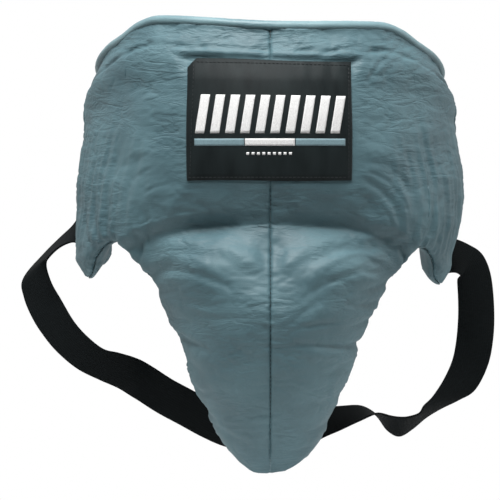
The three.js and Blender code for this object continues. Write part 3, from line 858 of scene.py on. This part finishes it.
def sheet_arrays(rows, place, way, angle, upper, across):
    """Arrays like half_body's for a grid on part of the right-hand half."""
    row = np.broadcast_to(rows[:, None], angle.shape)
    edge = np.clip((REAR_ANGLE - angle) * HIP_ARC, 0, 16)
    stack = mix(cup_stack(across), upper_stack(angle, place[..., 2], row, edge), upper)
    sheet = {
        "place": place.reshape(-1, 3), "way": way.reshape(-1, 3), "angle": angle.ravel(), "row": row.ravel(),
        "across": across.ravel(), "edge": edge.ravel(), "stack": stack.ravel(), "run": np.zeros(angle.size),
    }
    return sheet, angle.shape


def central_sheet(row_range, across_range):
    rows = shares_between(*row_range, 1, PADDING_STEP, 1)
    across = shares_between(*across_range, CUP_ARC, PADDING_STEP, 2)
    place, way, angle, upper = central_points(rows[:, None], across[None, :])
    return sheet_arrays(rows, place, way, angle, upper, np.broadcast_to(across[None, :], angle.shape))


def hip_sheet(row_range, angle_range, step=PADDING_STEP):
    rows = shares_between(*row_range, 1, step, 1)
    angles = shares_between(*angle_range, HIP_ARC, step, 2)
    place, way = hip_points(rows[:, None], angles[None, :])
    ones = np.ones(place.shape[:2])
    return sheet_arrays(rows, place, way, ones * angles, ones, ones)


def layer_faces(side, sheet, shape, near, far):
    """The two faces of a layer in the frame, at two depths under the design surface."""
    faces = []
    for depth in (near, far):
        places = sheet["place"] + sheet["way"] * (depth + np.zeros(len(sheet["place"])))[:, None]
        faces.append(to_frame(side, places).reshape(*shape, 3))
    return faces


def followed_depth(side, sheet):
    """Depth at which a padding's outer face fills the leather's own shape."""
    return np.minimum(UNDER_LEATHER, sheet["stack"] - 3) - cover_height(side, sheet)


def padding_piece(name, node, front, back, material):
    quads = grid_quads(grid_index(front.shape))
    points, faces = closed_shell(front.reshape(-1, 3), back.reshape(-1, 3), quads)
    piece = mesh_object(name, points, faces, material, "root")
    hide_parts(node)


def add_central_padding(name, node, row_range, depth, material):
    """Padding across both halves, down to a depth, or to the lining where depth is None."""
    halves = []
    for side, _ in SIDES:
        sheet, shape = central_sheet(row_range, (0.0, 0.9))
        far = sheet["stack"] - LINING_DEPTH if depth is None else depth
        halves.append(layer_faces(side, sheet, shape, followed_depth(side, sheet), far))
    front, back = (np.concatenate([left[:, ::-1], right[:, 1:]], axis=1) for left, right in zip(*halves))
    padding_piece(name, node, front, back, material)


def add_padding(material):
    """The foams between the leathers, and the hard cup's rim pads."""
    add_central_padding("abdominal_padding", "abdominal_foam", (208, 326), None, material)
    add_central_padding("cup_padding", "cup_cover_foam", (24, 168), HARD_CUP_DEPTH, material)
    for side, name in SIDES:
        hip, shape = hip_sheet((226, 326), (57.0, 101.0))
        front, back = layer_faces(side, hip, shape, followed_depth(side, hip), hip["stack"] - LINING_DEPTH)
        padding_piece(
            f"hip_padding_{name}", f"hip_foam_{name}", front[:, ::side], back[:, ::side], material)
        rim, shape = central_sheet((38, 168), (0.8, 0.9))
        front, back = layer_faces(side, rim, shape, RIM_PAD_DEPTH, rim["stack"] - LINING_DEPTH)
        padding_piece(
            f"rim_padding_{name}", f"cup_rim_pad_{name}", front[:, ::side], back[:, ::side], material)


# ---- Bands: straps, belt, tab and panels --------------------------------------------------------
def through(points, count):
    """Evenly shared Catmull-Rom points through a list of points."""
    points = np.array(points, float)
    extended = np.concatenate([2 * points[:1] - points[1:2], points, 2 * points[-1:] - points[-2:-1]])
    t = np.linspace(0, len(points) - 1 - 1e-9, count)
    i = t.astype(int)
    u = (t - i)[:, None]
    p0, p1, p2, p3 = (extended[i + k] for k in range(4))
    square, cube = 2 * p0 - 5 * p1 + 4 * p2 - p3, 3 * p1 - p0 - 3 * p2 + p3
    return 0.5 * (2 * p1 + (p2 - p0) * u + square * u**2 + cube * u**3)


LIP = 0.65  # thickness of a band's two side edges, as a share of the thickness in the middle


def band_faces(rows, columns):
    """Faces of a closed band of two grids; the last two faces close its ends."""
    count = rows * columns
    front = grid_quads(grid_index((rows, columns)))
    faces = front.tolist() + (front[:, [3, 2, 1, 0]] + count).tolist()
    for a in range(0, count - columns, columns):
        b = a + columns
        last_a, last_b = a + columns - 1, b + columns - 1
        faces.append((a, b, count + b, count + a))
        faces.append((last_b, last_a, count + last_a, count + last_b))
    for start, turn in ((0, 1), (count - columns, -1)):
        ring = list(range(start, start + columns)) + list(range(start + count, start + count + columns))[::-1]
        faces.append(tuple(ring[::-turn]))
    return faces


def band_mesh(name, one, other, thickness, material, cells=8):
    """A flat band between two edge lines in metres. Its UVs are in millimetres. Returns its length too."""
    middle = (one + other) / 2
    across = other - one
    normal = unit(np.cross(unit(np.gradient(middle, axis=0)), across))
    run = run_along(middle) / MM
    width = np.linalg.norm(across, axis=1).mean() / MM
    shares = np.concatenate([[0, 0.02], np.linspace(0.06, 0.94, cells - 1), [0.98, 1]])
    lips = np.where(np.minimum(shares, 1 - shares) < 0.001, LIP, 1)
    flat = one[:, None] + across[:, None] * shares[:, None]
    rise = normal[:, None] * (thickness * MM / 2 * lips)[:, None]
    points = np.concatenate([(flat + rise).reshape(-1, 3), (flat - rise).reshape(-1, 3)])
    uvs = [(share * width, at) for at in run for share in shares] * 2
    faces = band_faces(len(middle), len(shares))
    made = mesh_object(name, points, faces, material)
    end_edges = {key for end in list(made.data.polygons)[-2:] for key in end.edge_keys}
    for edge in made.data.edges:
        edge.use_edge_sharp = edge.key in end_edges
    layer = made.data.uv_layers.new(name="UVMap")
    for loop in made.data.loops:
        layer.data[loop.index].uv = uvs[loop.vertex_index]
    return made, run[-1]


# Stations of each leg strap from its upper to its lower end: x and h of both edges, on its own side.
LEFT_STRAP = [
    (144, 199, 144, 173), (153, 188, 152.5, 175.5), (164, 177.5, 163, 171.5), (176, 165.5, 172, 163),
    (192, 146, 173.5, 158.5), (191, 133, 169.5, 144), (185, 118, 162, 131), (177, 105, 152.5, 115),
    (166, 91.5, 142, 103), (150, 78, 129, 93), (132, 69, 117, 90), (116, 62, 105, 86.5),
    (103, 54, 92.5, 80.5), (87, 44, 76, 70), (70, 35, 60, 61.5), (52, 25.5, 44, 52.5),
    (35, 18.5, 28.5, 46), (11, 13.5, 9, 41.9),
]
RIGHT_STRAP = [
    (143, 178, 143, 152), (155, 173, 148, 149), (166, 164, 145.5, 147), (172, 146, 145.5, 140),
    (174, 121, 146, 120), (173, 99, 144.5, 100), (169, 80, 141, 83), (159, 61, 134, 68),
    (146, 53, 126, 56), (133, 47, 119, 49), (121, 40, 115.5, 43.5), (110, 31, 108, 41),
    (100, 25.5, 101, 40.5), (91, 30, 93, 41.5), (82, 42, 82, 43.5), (70, 49, 69, 38),
    (55, 49, 54, 31), (42, 48, 40.5, 25), (27, 45, 24.5, 17), (11, 42, 10, 13.6),
]
STRAP_SEAT = 0.3  # the straps' middle lies this far behind the foot patch
# Plan places of the hidden upper end, sewn inside the wing.
STRAP_ROOT = [(130, 21), (137, 36)]
RIGHT_ROOT_INWARD = 6
ROOT_HALF_HEIGHT = 11


def strap_edges(side, stations):
    """Both edges of a leg strap in millimetres. A strap that looks narrow is turned front to back."""
    slope = (STRAP_FOOT[1] - STRAP_TOP[1]) / (STRAP_FOOT[0] - STRAP_TOP[0])
    one, other = [], []
    for outer_x, outer_h, inner_x, inner_h in stations:
        middle_x = (outer_x + inner_x) / 2
        seen = math.hypot(outer_x - inner_x, outer_h - inner_h)
        to_foot = 1 - float(smooth(8, 40, middle_x))
        depth = math.sqrt(max(0, STRAP_WIDTH**2 - seen**2)) / 2 * (1 - to_foot)
        y = STRAP_TOP[1] + slope * (middle_x - STRAP_TOP[0])
        y += (FOOT_FACE_Y + STRAP_SEAT - STRAP_FOOT[1]) * to_foot
        one.append((side * outer_x, y + depth, outer_h - WAIST_HEIGHT))
        other.append((side * inner_x, y - depth, inner_h - WAIST_HEIGHT))
    root_z = (stations[0][1] + stations[0][3]) / 2 - WAIST_HEIGHT
    inward = RIGHT_ROOT_INWARD if side > 0 else 0
    root = [(side * (x - inward), y) for x, y in STRAP_ROOT]
    one = [(x, y, root_z + ROOT_HALF_HEIGHT) for x, y in root] + one
    other = [(x, y, root_z - ROOT_HALF_HEIGHT) for x, y in root] + other
    return one, other


def add_leg_straps(material):
    """Each strap is two sheets, each running from its own sewn end to the middle."""
    for side, name, stations in ((-1, "left", LEFT_STRAP), (1, "right", RIGHT_STRAP)):
        one, other = strap_edges(side, stations)
        count = 12 * len(one)
        half = count // 2
        one, other = through(one, count) * MM, through(other, count) * MM
        middle = (one + other) / 2
        across = unit(other - one) * STRAP_WIDTH * MM / 2
        one, other = middle - across, middle + across
        # bend: two points along the strap, between its sewn end and its middle.
        for part, keep, bend in (
            ("upper", slice(0, half + 1), (22, 46)),
            ("lower", slice(half, count), (count - 6, count - 34)),
        ):
            strap, length = band_mesh(
                f"leg_strap_{name}_{part}", one[keep], other[keep], STRAP_THICKNESS, material)
            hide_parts(f"leg_strap_{name}")
            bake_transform(strap)


def belt_edges(angles, width, lift):
    """Lower and upper edge lines of a length of belt, at plan angles counted over the right side."""
    way = unit(np.stack([sine(angles) / BELT_HALF_WIDTH, -cosine(angles) / BELT_HALF_DEPTH, 0 * angles], -1))
    center = np.stack([BELT_HALF_WIDTH * sine(angles), -BELT_HALF_DEPTH * cosine(angles), 0 * angles], -1)
    center = center + way * (lift + 0 * angles)[:, None]
    up = np.array([0, 0, width / 2])
    return (center - up) * MM, (center + up) * MM


def belt_piece(name, node, slot, angles, width, lift, thickness, material, cells, bodies, bend, **lies):
    """One flat piece of the belt, attached to its body where it has one, and left in place where it has two.
    """
    low, high = belt_edges(angles, width, lift)
    piece, length = band_mesh(name, low, high, thickness, material, cells)
    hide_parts(node)
    if len(bodies) == 1:
        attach(piece, *bodies)
    else:
        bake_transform(piece)


def add_belt(elastic, cover, hook, loop):
    """Two elastics, and the closure tab whose hooks lie on the loops of the left elastic."""
    # Each elastic dives under the wing at its root, and the right one rises over the loops at its end.
    share = np.linspace(0, 1, 60)
    right_lift = 1 - 5 * (1 - smooth(0, 0.3, share)) + 3.8 * smooth(0.5, 1, share)
    belt_piece("belt_elastic_right", "waist_elastic_right", "elastic_webbing", np.linspace(105, 150, 60),
               BELT_WIDTH, right_lift, ELASTIC_THICKNESS, elastic, 14, ("root", "belt_right"), (8, 30),
               held="stretched")
    left_lift = 1 - 5 * (1 - smooth(0, 0.13, np.linspace(1, 0, 120)))
    belt_piece("belt_elastic_left", "waist_elastic_left", "elastic_webbing", np.linspace(156, 255, 120),
               BELT_WIDTH, left_lift, ELASTIC_THICKNESS, elastic, 14, ("root", "belt_left"), (-10, -34),
               held="stretched")
    belt_piece("loop_tape", "loop_panel", "loop_tape", np.linspace(158, 222, 70), PANEL_WIDTH, 3.15,
               PANEL_THICKNESS, loop, 12, ("belt_left",), None, held="laid", rests_on=["belt_elastic_left"])
    belt_piece("hook_tape", "hook_panel", "hook_tape", np.linspace(160, 206, 50), PANEL_WIDTH, 5.05,
               PANEL_THICKNESS, hook, 12, ("belt_tab",), None, held="laid", rests_on=["closure_tab_leather"])
    belt_piece("closure_tab_leather", "closure_tab", "cover_leather", np.linspace(145, 208, 80),
               BELT_WIDTH + 1, 7.2, 2.2, cover, 16, ("belt_right", "belt_tab"), (4, 17),
               held="laid", rests_on=["loop_tape"])


# ---- Small parts --------------------------------------------------------------------------------
STITCH_RINGS = [(-0.42, 0.75), (-0.2, 1.0), (0.2, 1.0), (0.42, 0.75)]
STITCH_SIDES = 6


def stitch(place, way, normal, length, radius):
    """Points of one thread stitch, a capsule that lies along way: an end, four rings and an end."""
    way = unit(way)
    out = unit(normal - way * float(np.dot(normal, way)))
    cross = np.cross(way, out)
    points = [place - way * length / 2]
    for share, size in STITCH_RINGS:
        for k in range(STITCH_SIDES):
            turn = 2 * math.pi * k / STITCH_SIDES
            around = out * math.sin(turn) + cross * math.cos(turn)
            points.append(place + way * length * share + around * radius * size)
    points.append(place + way * length / 2)
    return points


def stitch_faces():
    faces = []
    last = 1 + STITCH_SIDES * len(STITCH_RINGS)
    for k in range(STITCH_SIDES):
        n = (k + 1) % STITCH_SIDES
        faces.append((0, 1 + n, 1 + k))
        for a in range(1, last - STITCH_SIDES, STITCH_SIDES):
            faces.append((a + k, a + n, a + STITCH_SIDES + n, a + STITCH_SIDES + k))
        faces.append((last, last - STITCH_SIDES + k, last - STITCH_SIDES + n))
    return faces


def stitch_row(name, places, ways, normals, length, radius, material):
    """A row of short stitches, one per place. length and radius are in millimetres."""
    points, faces = [], []
    one = stitch_faces()
    for place, way, normal in zip(places, ways, normals):
        first = len(points)
        points += stitch(place, way, normal, length * MM, radius * MM)
        faces += [tuple(first + corner for corner in face) for face in one]
    mesh_object(name, points, faces, material, "root")


def cover_point(x, h, lift):
    """Points in the frame, lift above the pad's outer face, at places seen from the front (arrays)."""
    side = np.where(x < 0, -1.0, 1.0)
    across = np.degrees(np.arcsin(np.abs(x) / hip_half_width(h))) / FRONT_ANGLE
    row = h.copy()
    for _ in range(8):
        row = row + h - central_points(row, across)[0][..., 2]
    place, way, _, _ = central_points(row, across)
    place = place - way * (lift + 0 * x)[..., None]
    place[..., 0] *= side
    return place_in_frame(place)


def place_in_frame(places):
    """Millimetres on either side to the object's frame, in metres."""
    flat = places.reshape(-1, 3)
    return np.stack([flat[:, 0], flat[:, 1], settle(flat[:, 0], flat[:, 2]) - WAIST_HEIGHT], -1) * MM


def patch_on_cover(name, material, corner_x, corner_h, columns, rows, lift, thickness, shape):
    """A thin patch on the abdominal pad between two x and two h, bent by shape(x, h, u, v)."""
    u, v = np.meshgrid(np.linspace(0, 1, columns + 1), np.linspace(0, 1, rows + 1))
    x, h, extra = shape(mix(*corner_x, u), mix(*corner_h, v), u, v)
    front = cover_point(x, h, lift + thickness + extra)
    back = cover_point(x, h, lift + extra)
    points, faces = closed_shell(front, back, grid_quads(grid_index(x.shape)))
    return mesh_object(name, points, faces, material, "root")


def label_waves(x, h):
    """Soft vertical waves of the label, strongest near its top."""
    return 0.55 * smooth(285, 312, h) * wander(x / 7, 0, 70.0) + 0.25 * wander(x / 20, h / 20, 71.0)


def label_shape(x, h, u, v):
    """The label's slightly uneven outline, its folded upper left corner and its low sewn border."""
    fold = np.maximum(0, LABEL["left"] - x + h - LABEL["top"] + 7) * (u < 0.12) * (v > 0.85)
    x = x + 0.55 * fold + 0.5 * np.sin(v * 5.0) * (2 * u - 1)
    h = h - 0.45 * fold + 0.4 * np.sin(u * 7.0)
    to_border = np.minimum(np.minimum(u, 1 - u) * 124, np.minimum(v, 1 - v) * 92)
    return x, h, label_waves(x, h) - 0.7 * (1 - smooth(0, 5, to_border))


def mark_shape(x, h, u, v):
    return x, h, label_waves(x, h)


def slanted_shape(x, h, u, v):
    return x + 4.5 * (v - 0.5), h, label_waves(x, h)


MARK_LIFT = 1.62


def add_label_marks(white, tint):
    """A generic woven pattern: a row of slanted bars, a stripe of three parts and a row of dashes."""
    bars = 10
    pitch = 113 / bars
    for i in range(bars):
        left = -56.5 + i * pitch
        patch_on_cover(f"label_bar_{i + 1}", white, (left + 2.2, left + pitch - 2.2), (258, 287), 6, 12,
                       MARK_LIFT, 0.3, slanted_shape)
    for i, (left, right, material) in enumerate([(-57, -19.6, tint), (-19, 18.4, white), (19, 56.4, tint)]):
        patch_on_cover(f"label_stripe_{i + 1}", material, (left, right), (248.5, 254), 20, 4,
                       MARK_LIFT, 0.28, mark_shape)
    for i in range(9):
        left = -18 + i * 4
        patch_on_cover(f"label_dash_{i + 1}", white, (left, left + 2.2), (241.5, 243.6), 2, 2,
                       MARK_LIFT, 0.25, mark_shape)


def add_label_stitches(material):
    """Stitches round the label, a little inside its border."""
    inset = 2.6
    left, right = LABEL["left"] + inset, LABEL["right"] - inset
    bottom, top = LABEL["bottom"] + inset, LABEL["top"] - inset
    corners = [(left, bottom), (right, bottom), (right, top), (left + 3, top)]
    outline = []
    for (x0, h0), (x1, h1) in zip(corners, corners[1:] + corners[:1]):
        steps = int(math.hypot(x1 - x0, h1 - h0) / 3.1)
        for k in range(steps):
            outline.append((mix(x0, x1, k / steps), mix(h0, h1, k / steps), x1 - x0, h1 - h0))
    x, h, dx, dh = (np.array(column) for column in zip(*outline))
    lift = 1.85 + label_waves(x, h)
    places = cover_point(x, h, lift)
    reach = 1 / np.hypot(dx, dh)
    ahead = cover_point(x + dx * reach, h + dh * reach, lift)
    above = cover_point(x, h, lift + 1)
    stitch_row("label_stitches", places, ahead - places, above - places, 2.4, 0.22, material)


def add_label(cloth, white, tint, stitch_material):
    """The black satin label, one grid cell to a millimetre, with its woven marks and stitches."""
    left, right, bottom, top = LABEL.values()
    label = patch_on_cover("label_cloth", cloth, (left, right), (bottom, top), int(right - left),
                           top - bottom, LABEL_LIFT, LABEL_THICKNESS, label_shape)
    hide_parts("label_patch")
    add_label_marks(white, tint)
    add_label_stitches(stitch_material)


def add_centre_stitches(material):
    """Short stitches down the sunk centre seam, except under the label."""
    h = np.concatenate([np.arange(12, LABEL["bottom"] - 2, 3.2), np.arange(LABEL["top"] + 2, 334, 3.2)])
    x = np.full_like(h, 0.4)
    places = cover_point(x, h, -2.0)
    ahead = cover_point(x, h + 0.6, -2.0)
    above = cover_point(x, h, -1.0)
    stitch_row("centre_stitches", places, ahead - places, above - places, 2.2, 0.2, material)


def stitch_line(name, line, outward, start, stop, pitch, raised, length, material, below=None):
    """Stitches along a line in metres, from start to stop, where it is below a height."""
    run = run_along(line)
    at = np.arange(start, run[-1] - stop, pitch)
    places = at_run(line, run, at)
    ahead = at_run(line, run, at + 0.0005) - places
    above = at_run(outward, run, at)
    keep = np.linalg.norm(ahead, axis=1) > 0
    if below is not None:
        keep &= places[:, 2] < below
    stitch_row(name, (places + above * raised * MM)[keep], ahead[keep], above[keep], length, STITCH_RADIUS,
               material)


def add_edge_stitches(material, edge_lines):
    """Pale stitches along the free edges, up to a little above the belt's middle."""
    for side, name in SIDES:
        stitch_line(
            f"edge_stitches_{name}", *edge_lines[side], 0.004, 0, 0.0031, 0, 1.8, material, below=0.03)


PIPING_SIDES = 20
PIPING_FLATNESS = 1.05  # the roll is this much wider than high
PIPING_OVERLAP = 0.9  # the roll sits this far down over the leather's edge


def piping_line():
    """The middle line of the rolled edge, from the left wing's rear end to the right one's."""
    angles = np.linspace(-REAR_ANGLE, REAR_ANGLE, 300)
    size = np.abs(angles)
    central, way, _, _ = central_points(TOP_HEIGHT, np.minimum(size / FRONT_ANGLE, 1))
    hip, hip_way = hip_points(TOP_HEIGHT, np.maximum(size, FRONT_ANGLE))
    at_side = (size > FRONT_ANGLE)[:, None]
    place = np.where(at_side, hip, central) + np.where(at_side, hip_way, way) * COLLAR_STACK / 2
    place[:, 0] *= np.where(angles < 0, -1.0, 1.0)
    middle = place_in_frame(place)
    middle[:, 2] += (PIPING_RADIUS - PIPING_OVERLAP) * MM
    return middle


def add_piping(material):
    """The rolled leather edge, with a slightly uneven roll and a rounded end at each wing."""
    middle = piping_line()
    along = unit(np.gradient(middle, axis=0))
    out = unit(np.cross(along, np.array([0, 0, 1.0])))
    up = np.cross(out, along)
    run = run_along(middle) / MM
    points = []
    for i in range(len(middle)):
        from_end = min(run[i], run[-1] - run[i])
        taper = math.sqrt(max(0.02, 1 - (1 - min(from_end / PIPING_RADIUS, 1)) ** 2))
        for k in range(PIPING_SIDES):
            turn = 2 * math.pi * k / PIPING_SIDES
            lump = 1 + 0.05 * noise.noise(Vector((run[i] / 9, math.cos(turn), math.sin(turn))))
            lump += 0.035 * noise.noise(Vector((run[i] / 2.2, math.cos(turn) * 2, 7.0)))
            around = out[i] * math.cos(turn) * PIPING_FLATNESS + up[i] * math.sin(turn)
            points.append(middle[i] + around * PIPING_LOOK_RADIUS * MM * taper * lump)
    faces = []
    for i in range(len(middle) - 1):
        for k in range(PIPING_SIDES):
            a, b = i * PIPING_SIDES + k, i * PIPING_SIDES + (k + 1) % PIPING_SIDES
            faces.append((a, b, b + PIPING_SIDES, a + PIPING_SIDES))
    faces.append(tuple(range(PIPING_SIDES))[::-1])
    faces.append(tuple(range(len(points) - PIPING_SIDES, len(points))))
    piping = mesh_object("rolled_piping", points, faces, material, "root")
    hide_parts("top_piping")


PATCH_PITCH = 1.2
PATCH_SEAM = 2.4  # distance of the stitches from the patch's border


def border_loop(rows, columns, inset):
    """Grid places once round a grid, inset from its border."""
    top, bottom, left, right = inset, rows - 1 - inset, inset, columns - 1 - inset
    loop = [(top, j) for j in range(left, right + 1)]
    loop += [(i, right) for i in range(top + 1, bottom + 1)]
    loop += [(bottom, j) for j in range(right - 1, left - 1, -1)]
    return loop + [(i, left) for i in range(bottom - 1, top, -1)]


def puffed_patch(name, node, base, out, thickness, material, stitch_material, under=0.0):
    """A sewn-on leather patch on a grid of base points: full in the middle, thin at its border."""
    rows, columns = base.shape[:2]
    i, j = np.arange(rows), np.arange(columns)
    to_border = np.minimum.outer(np.minimum(i, i[::-1]), np.minimum(j, j[::-1])) * PATCH_PITCH
    fullness = 0.3 + 0.7 * smooth(0, 1.6, to_border) - 0.35 * bell(to_border - PATCH_SEAM, 0.7)
    front = base + out * (fullness * thickness * MM)[..., None]
    back = base - out * under * MM
    quads = grid_quads(grid_index(base.shape))
    across, down = base[0, -1] - base[0, 0], base[-1, 0] - base[0, 0]
    if np.dot(np.cross(across, down), out[0, 0]) < 0:
        quads = quads[:, ::-1]
    points, faces = closed_shell(front.reshape(-1, 3), back.reshape(-1, 3), quads)
    patch = mesh_object(name, points, faces, material, "root")
    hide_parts(node)
    loop = border_loop(rows, columns, round(PATCH_SEAM / PATCH_PITCH))
    line, outward = (np.array([grid[at] for at in loop]) for grid in (front, out))
    stitch_line(f"{name}_stitches", line, outward, 0.001, 0.001, 0.003, 0.1, 2.0, stitch_material)


def add_root_patches(material, stitch_material):
    """Patches over the sewn roots of the belt, on the outside, and of the leg straps, on the inside."""
    for side, name in SIDES:
        for kind, rows, angles in (
            ("belt", (264, 327), (96.5, 110.5)),
            ("leg_strap", (208, 242), (97, 110.5)),
        ):
            sheet, shape = hip_sheet(rows, angles, PATCH_PITCH)
            stack, roll = side_depths(side, sheet)
            if kind == "belt":
                outward, depth = -sheet["way"], roll - cover_height(side, sheet) - 0.25
            else:
                outward, depth = sheet["way"], stack - roll + 0.5
            base = sheet["place"] + sheet["way"] * depth[:, None]
            ahead = to_frame(side, base + outward).reshape(*shape, 3)
            base = to_frame(side, base).reshape(*shape, 3)
            puffed_patch(f"{kind}_patch_{name}", f"{kind}_root_patch_{name}", base, unit(ahead - base), 1.7,
                         material, stitch_material)


def add_foot_patch(material, stitch_material):
    """The patch that the straps' lower ends are sewn to, thick enough to reach the cup's rims."""
    thickness = 1.8
    x, h = np.meshgrid(np.linspace(-25, 25, 43), np.linspace(13, 43, 26))
    base = np.stack([x, 0 * x + FOOT_FACE_Y - thickness, h - WAIST_HEIGHT], -1) * MM
    out = np.zeros_like(base)
    out[..., 1] = 1
    puffed_patch("foot_patch", "leg_strap_foot_patch", base, out, thickness, material, stitch_material, 4.6)


def paint_hard_cup(plastic):
    """The hidden cup keeps its frame solid and gets a better material."""
    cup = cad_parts["hard_cup"]
    cup.data.materials.clear()
    cup.data.materials.append(plastic)


# ---- Making everything --------------------------------------------------------------------------
add_camera()
add_stage()
add_lights()
add_world()

cover_leather = leather(
    "cover_leather", (0.070, 0.140, 0.164), (0.088, 0.170, 0.196), (0.106, 0.200, 0.228), 0.56)
# The piping is the cover leather painted lighter: painted light on the top edge, where the key light from
# above falls.
piping_leather = leather(
    "piping_leather", (0.15, 0.25, 0.28), (0.19, 0.31, 0.34), (0.23, 0.36, 0.39), 0.45, 0.3)
lining_leather = leather(
    "lining_leather", (0.07, 0.13, 0.15), (0.088, 0.158, 0.18), (0.104, 0.184, 0.208), 0.6, 0.6)
elastic = webbing("elastic_webbing", (0.0032, 0.0055, 0.0062), 1.7)
label_cloth = satin("label_satin", (0.004, 0.008, 0.009), (0.013, 0.020, 0.021))
white_thread = thread("white_thread", (0.93, 0.93, 0.92))
tint_thread = thread("tint_thread", (0.22, 0.34, 0.38))
dark_thread = thread("dark_thread", (0.012, 0.016, 0.018))
pale_thread = thread("pale_thread", (0.42, 0.52, 0.54))
loop_tape = pile("loop_tape", (0.010, 0.012, 0.013), 1100, 0.95)
hook_tape = pile("hook_tape", (0.008, 0.009, 0.010), 1500, 0.7)

edge_lines = add_covers(cover_leather)
add_linings(lining_leather)
add_leg_straps(elastic)
add_belt(elastic, cover_leather, hook_tape, loop_tape)
add_label(label_cloth, white_thread, tint_thread, dark_thread)
add_piping(piping_leather)
add_root_patches(cover_leather, pale_thread)
add_foot_patch(cover_leather, pale_thread)
add_padding(foam_material())
paint_hard_cup(cup_plastic())
add_centre_stitches(dark_thread)
add_edge_stitches(pale_thread, edge_lines)
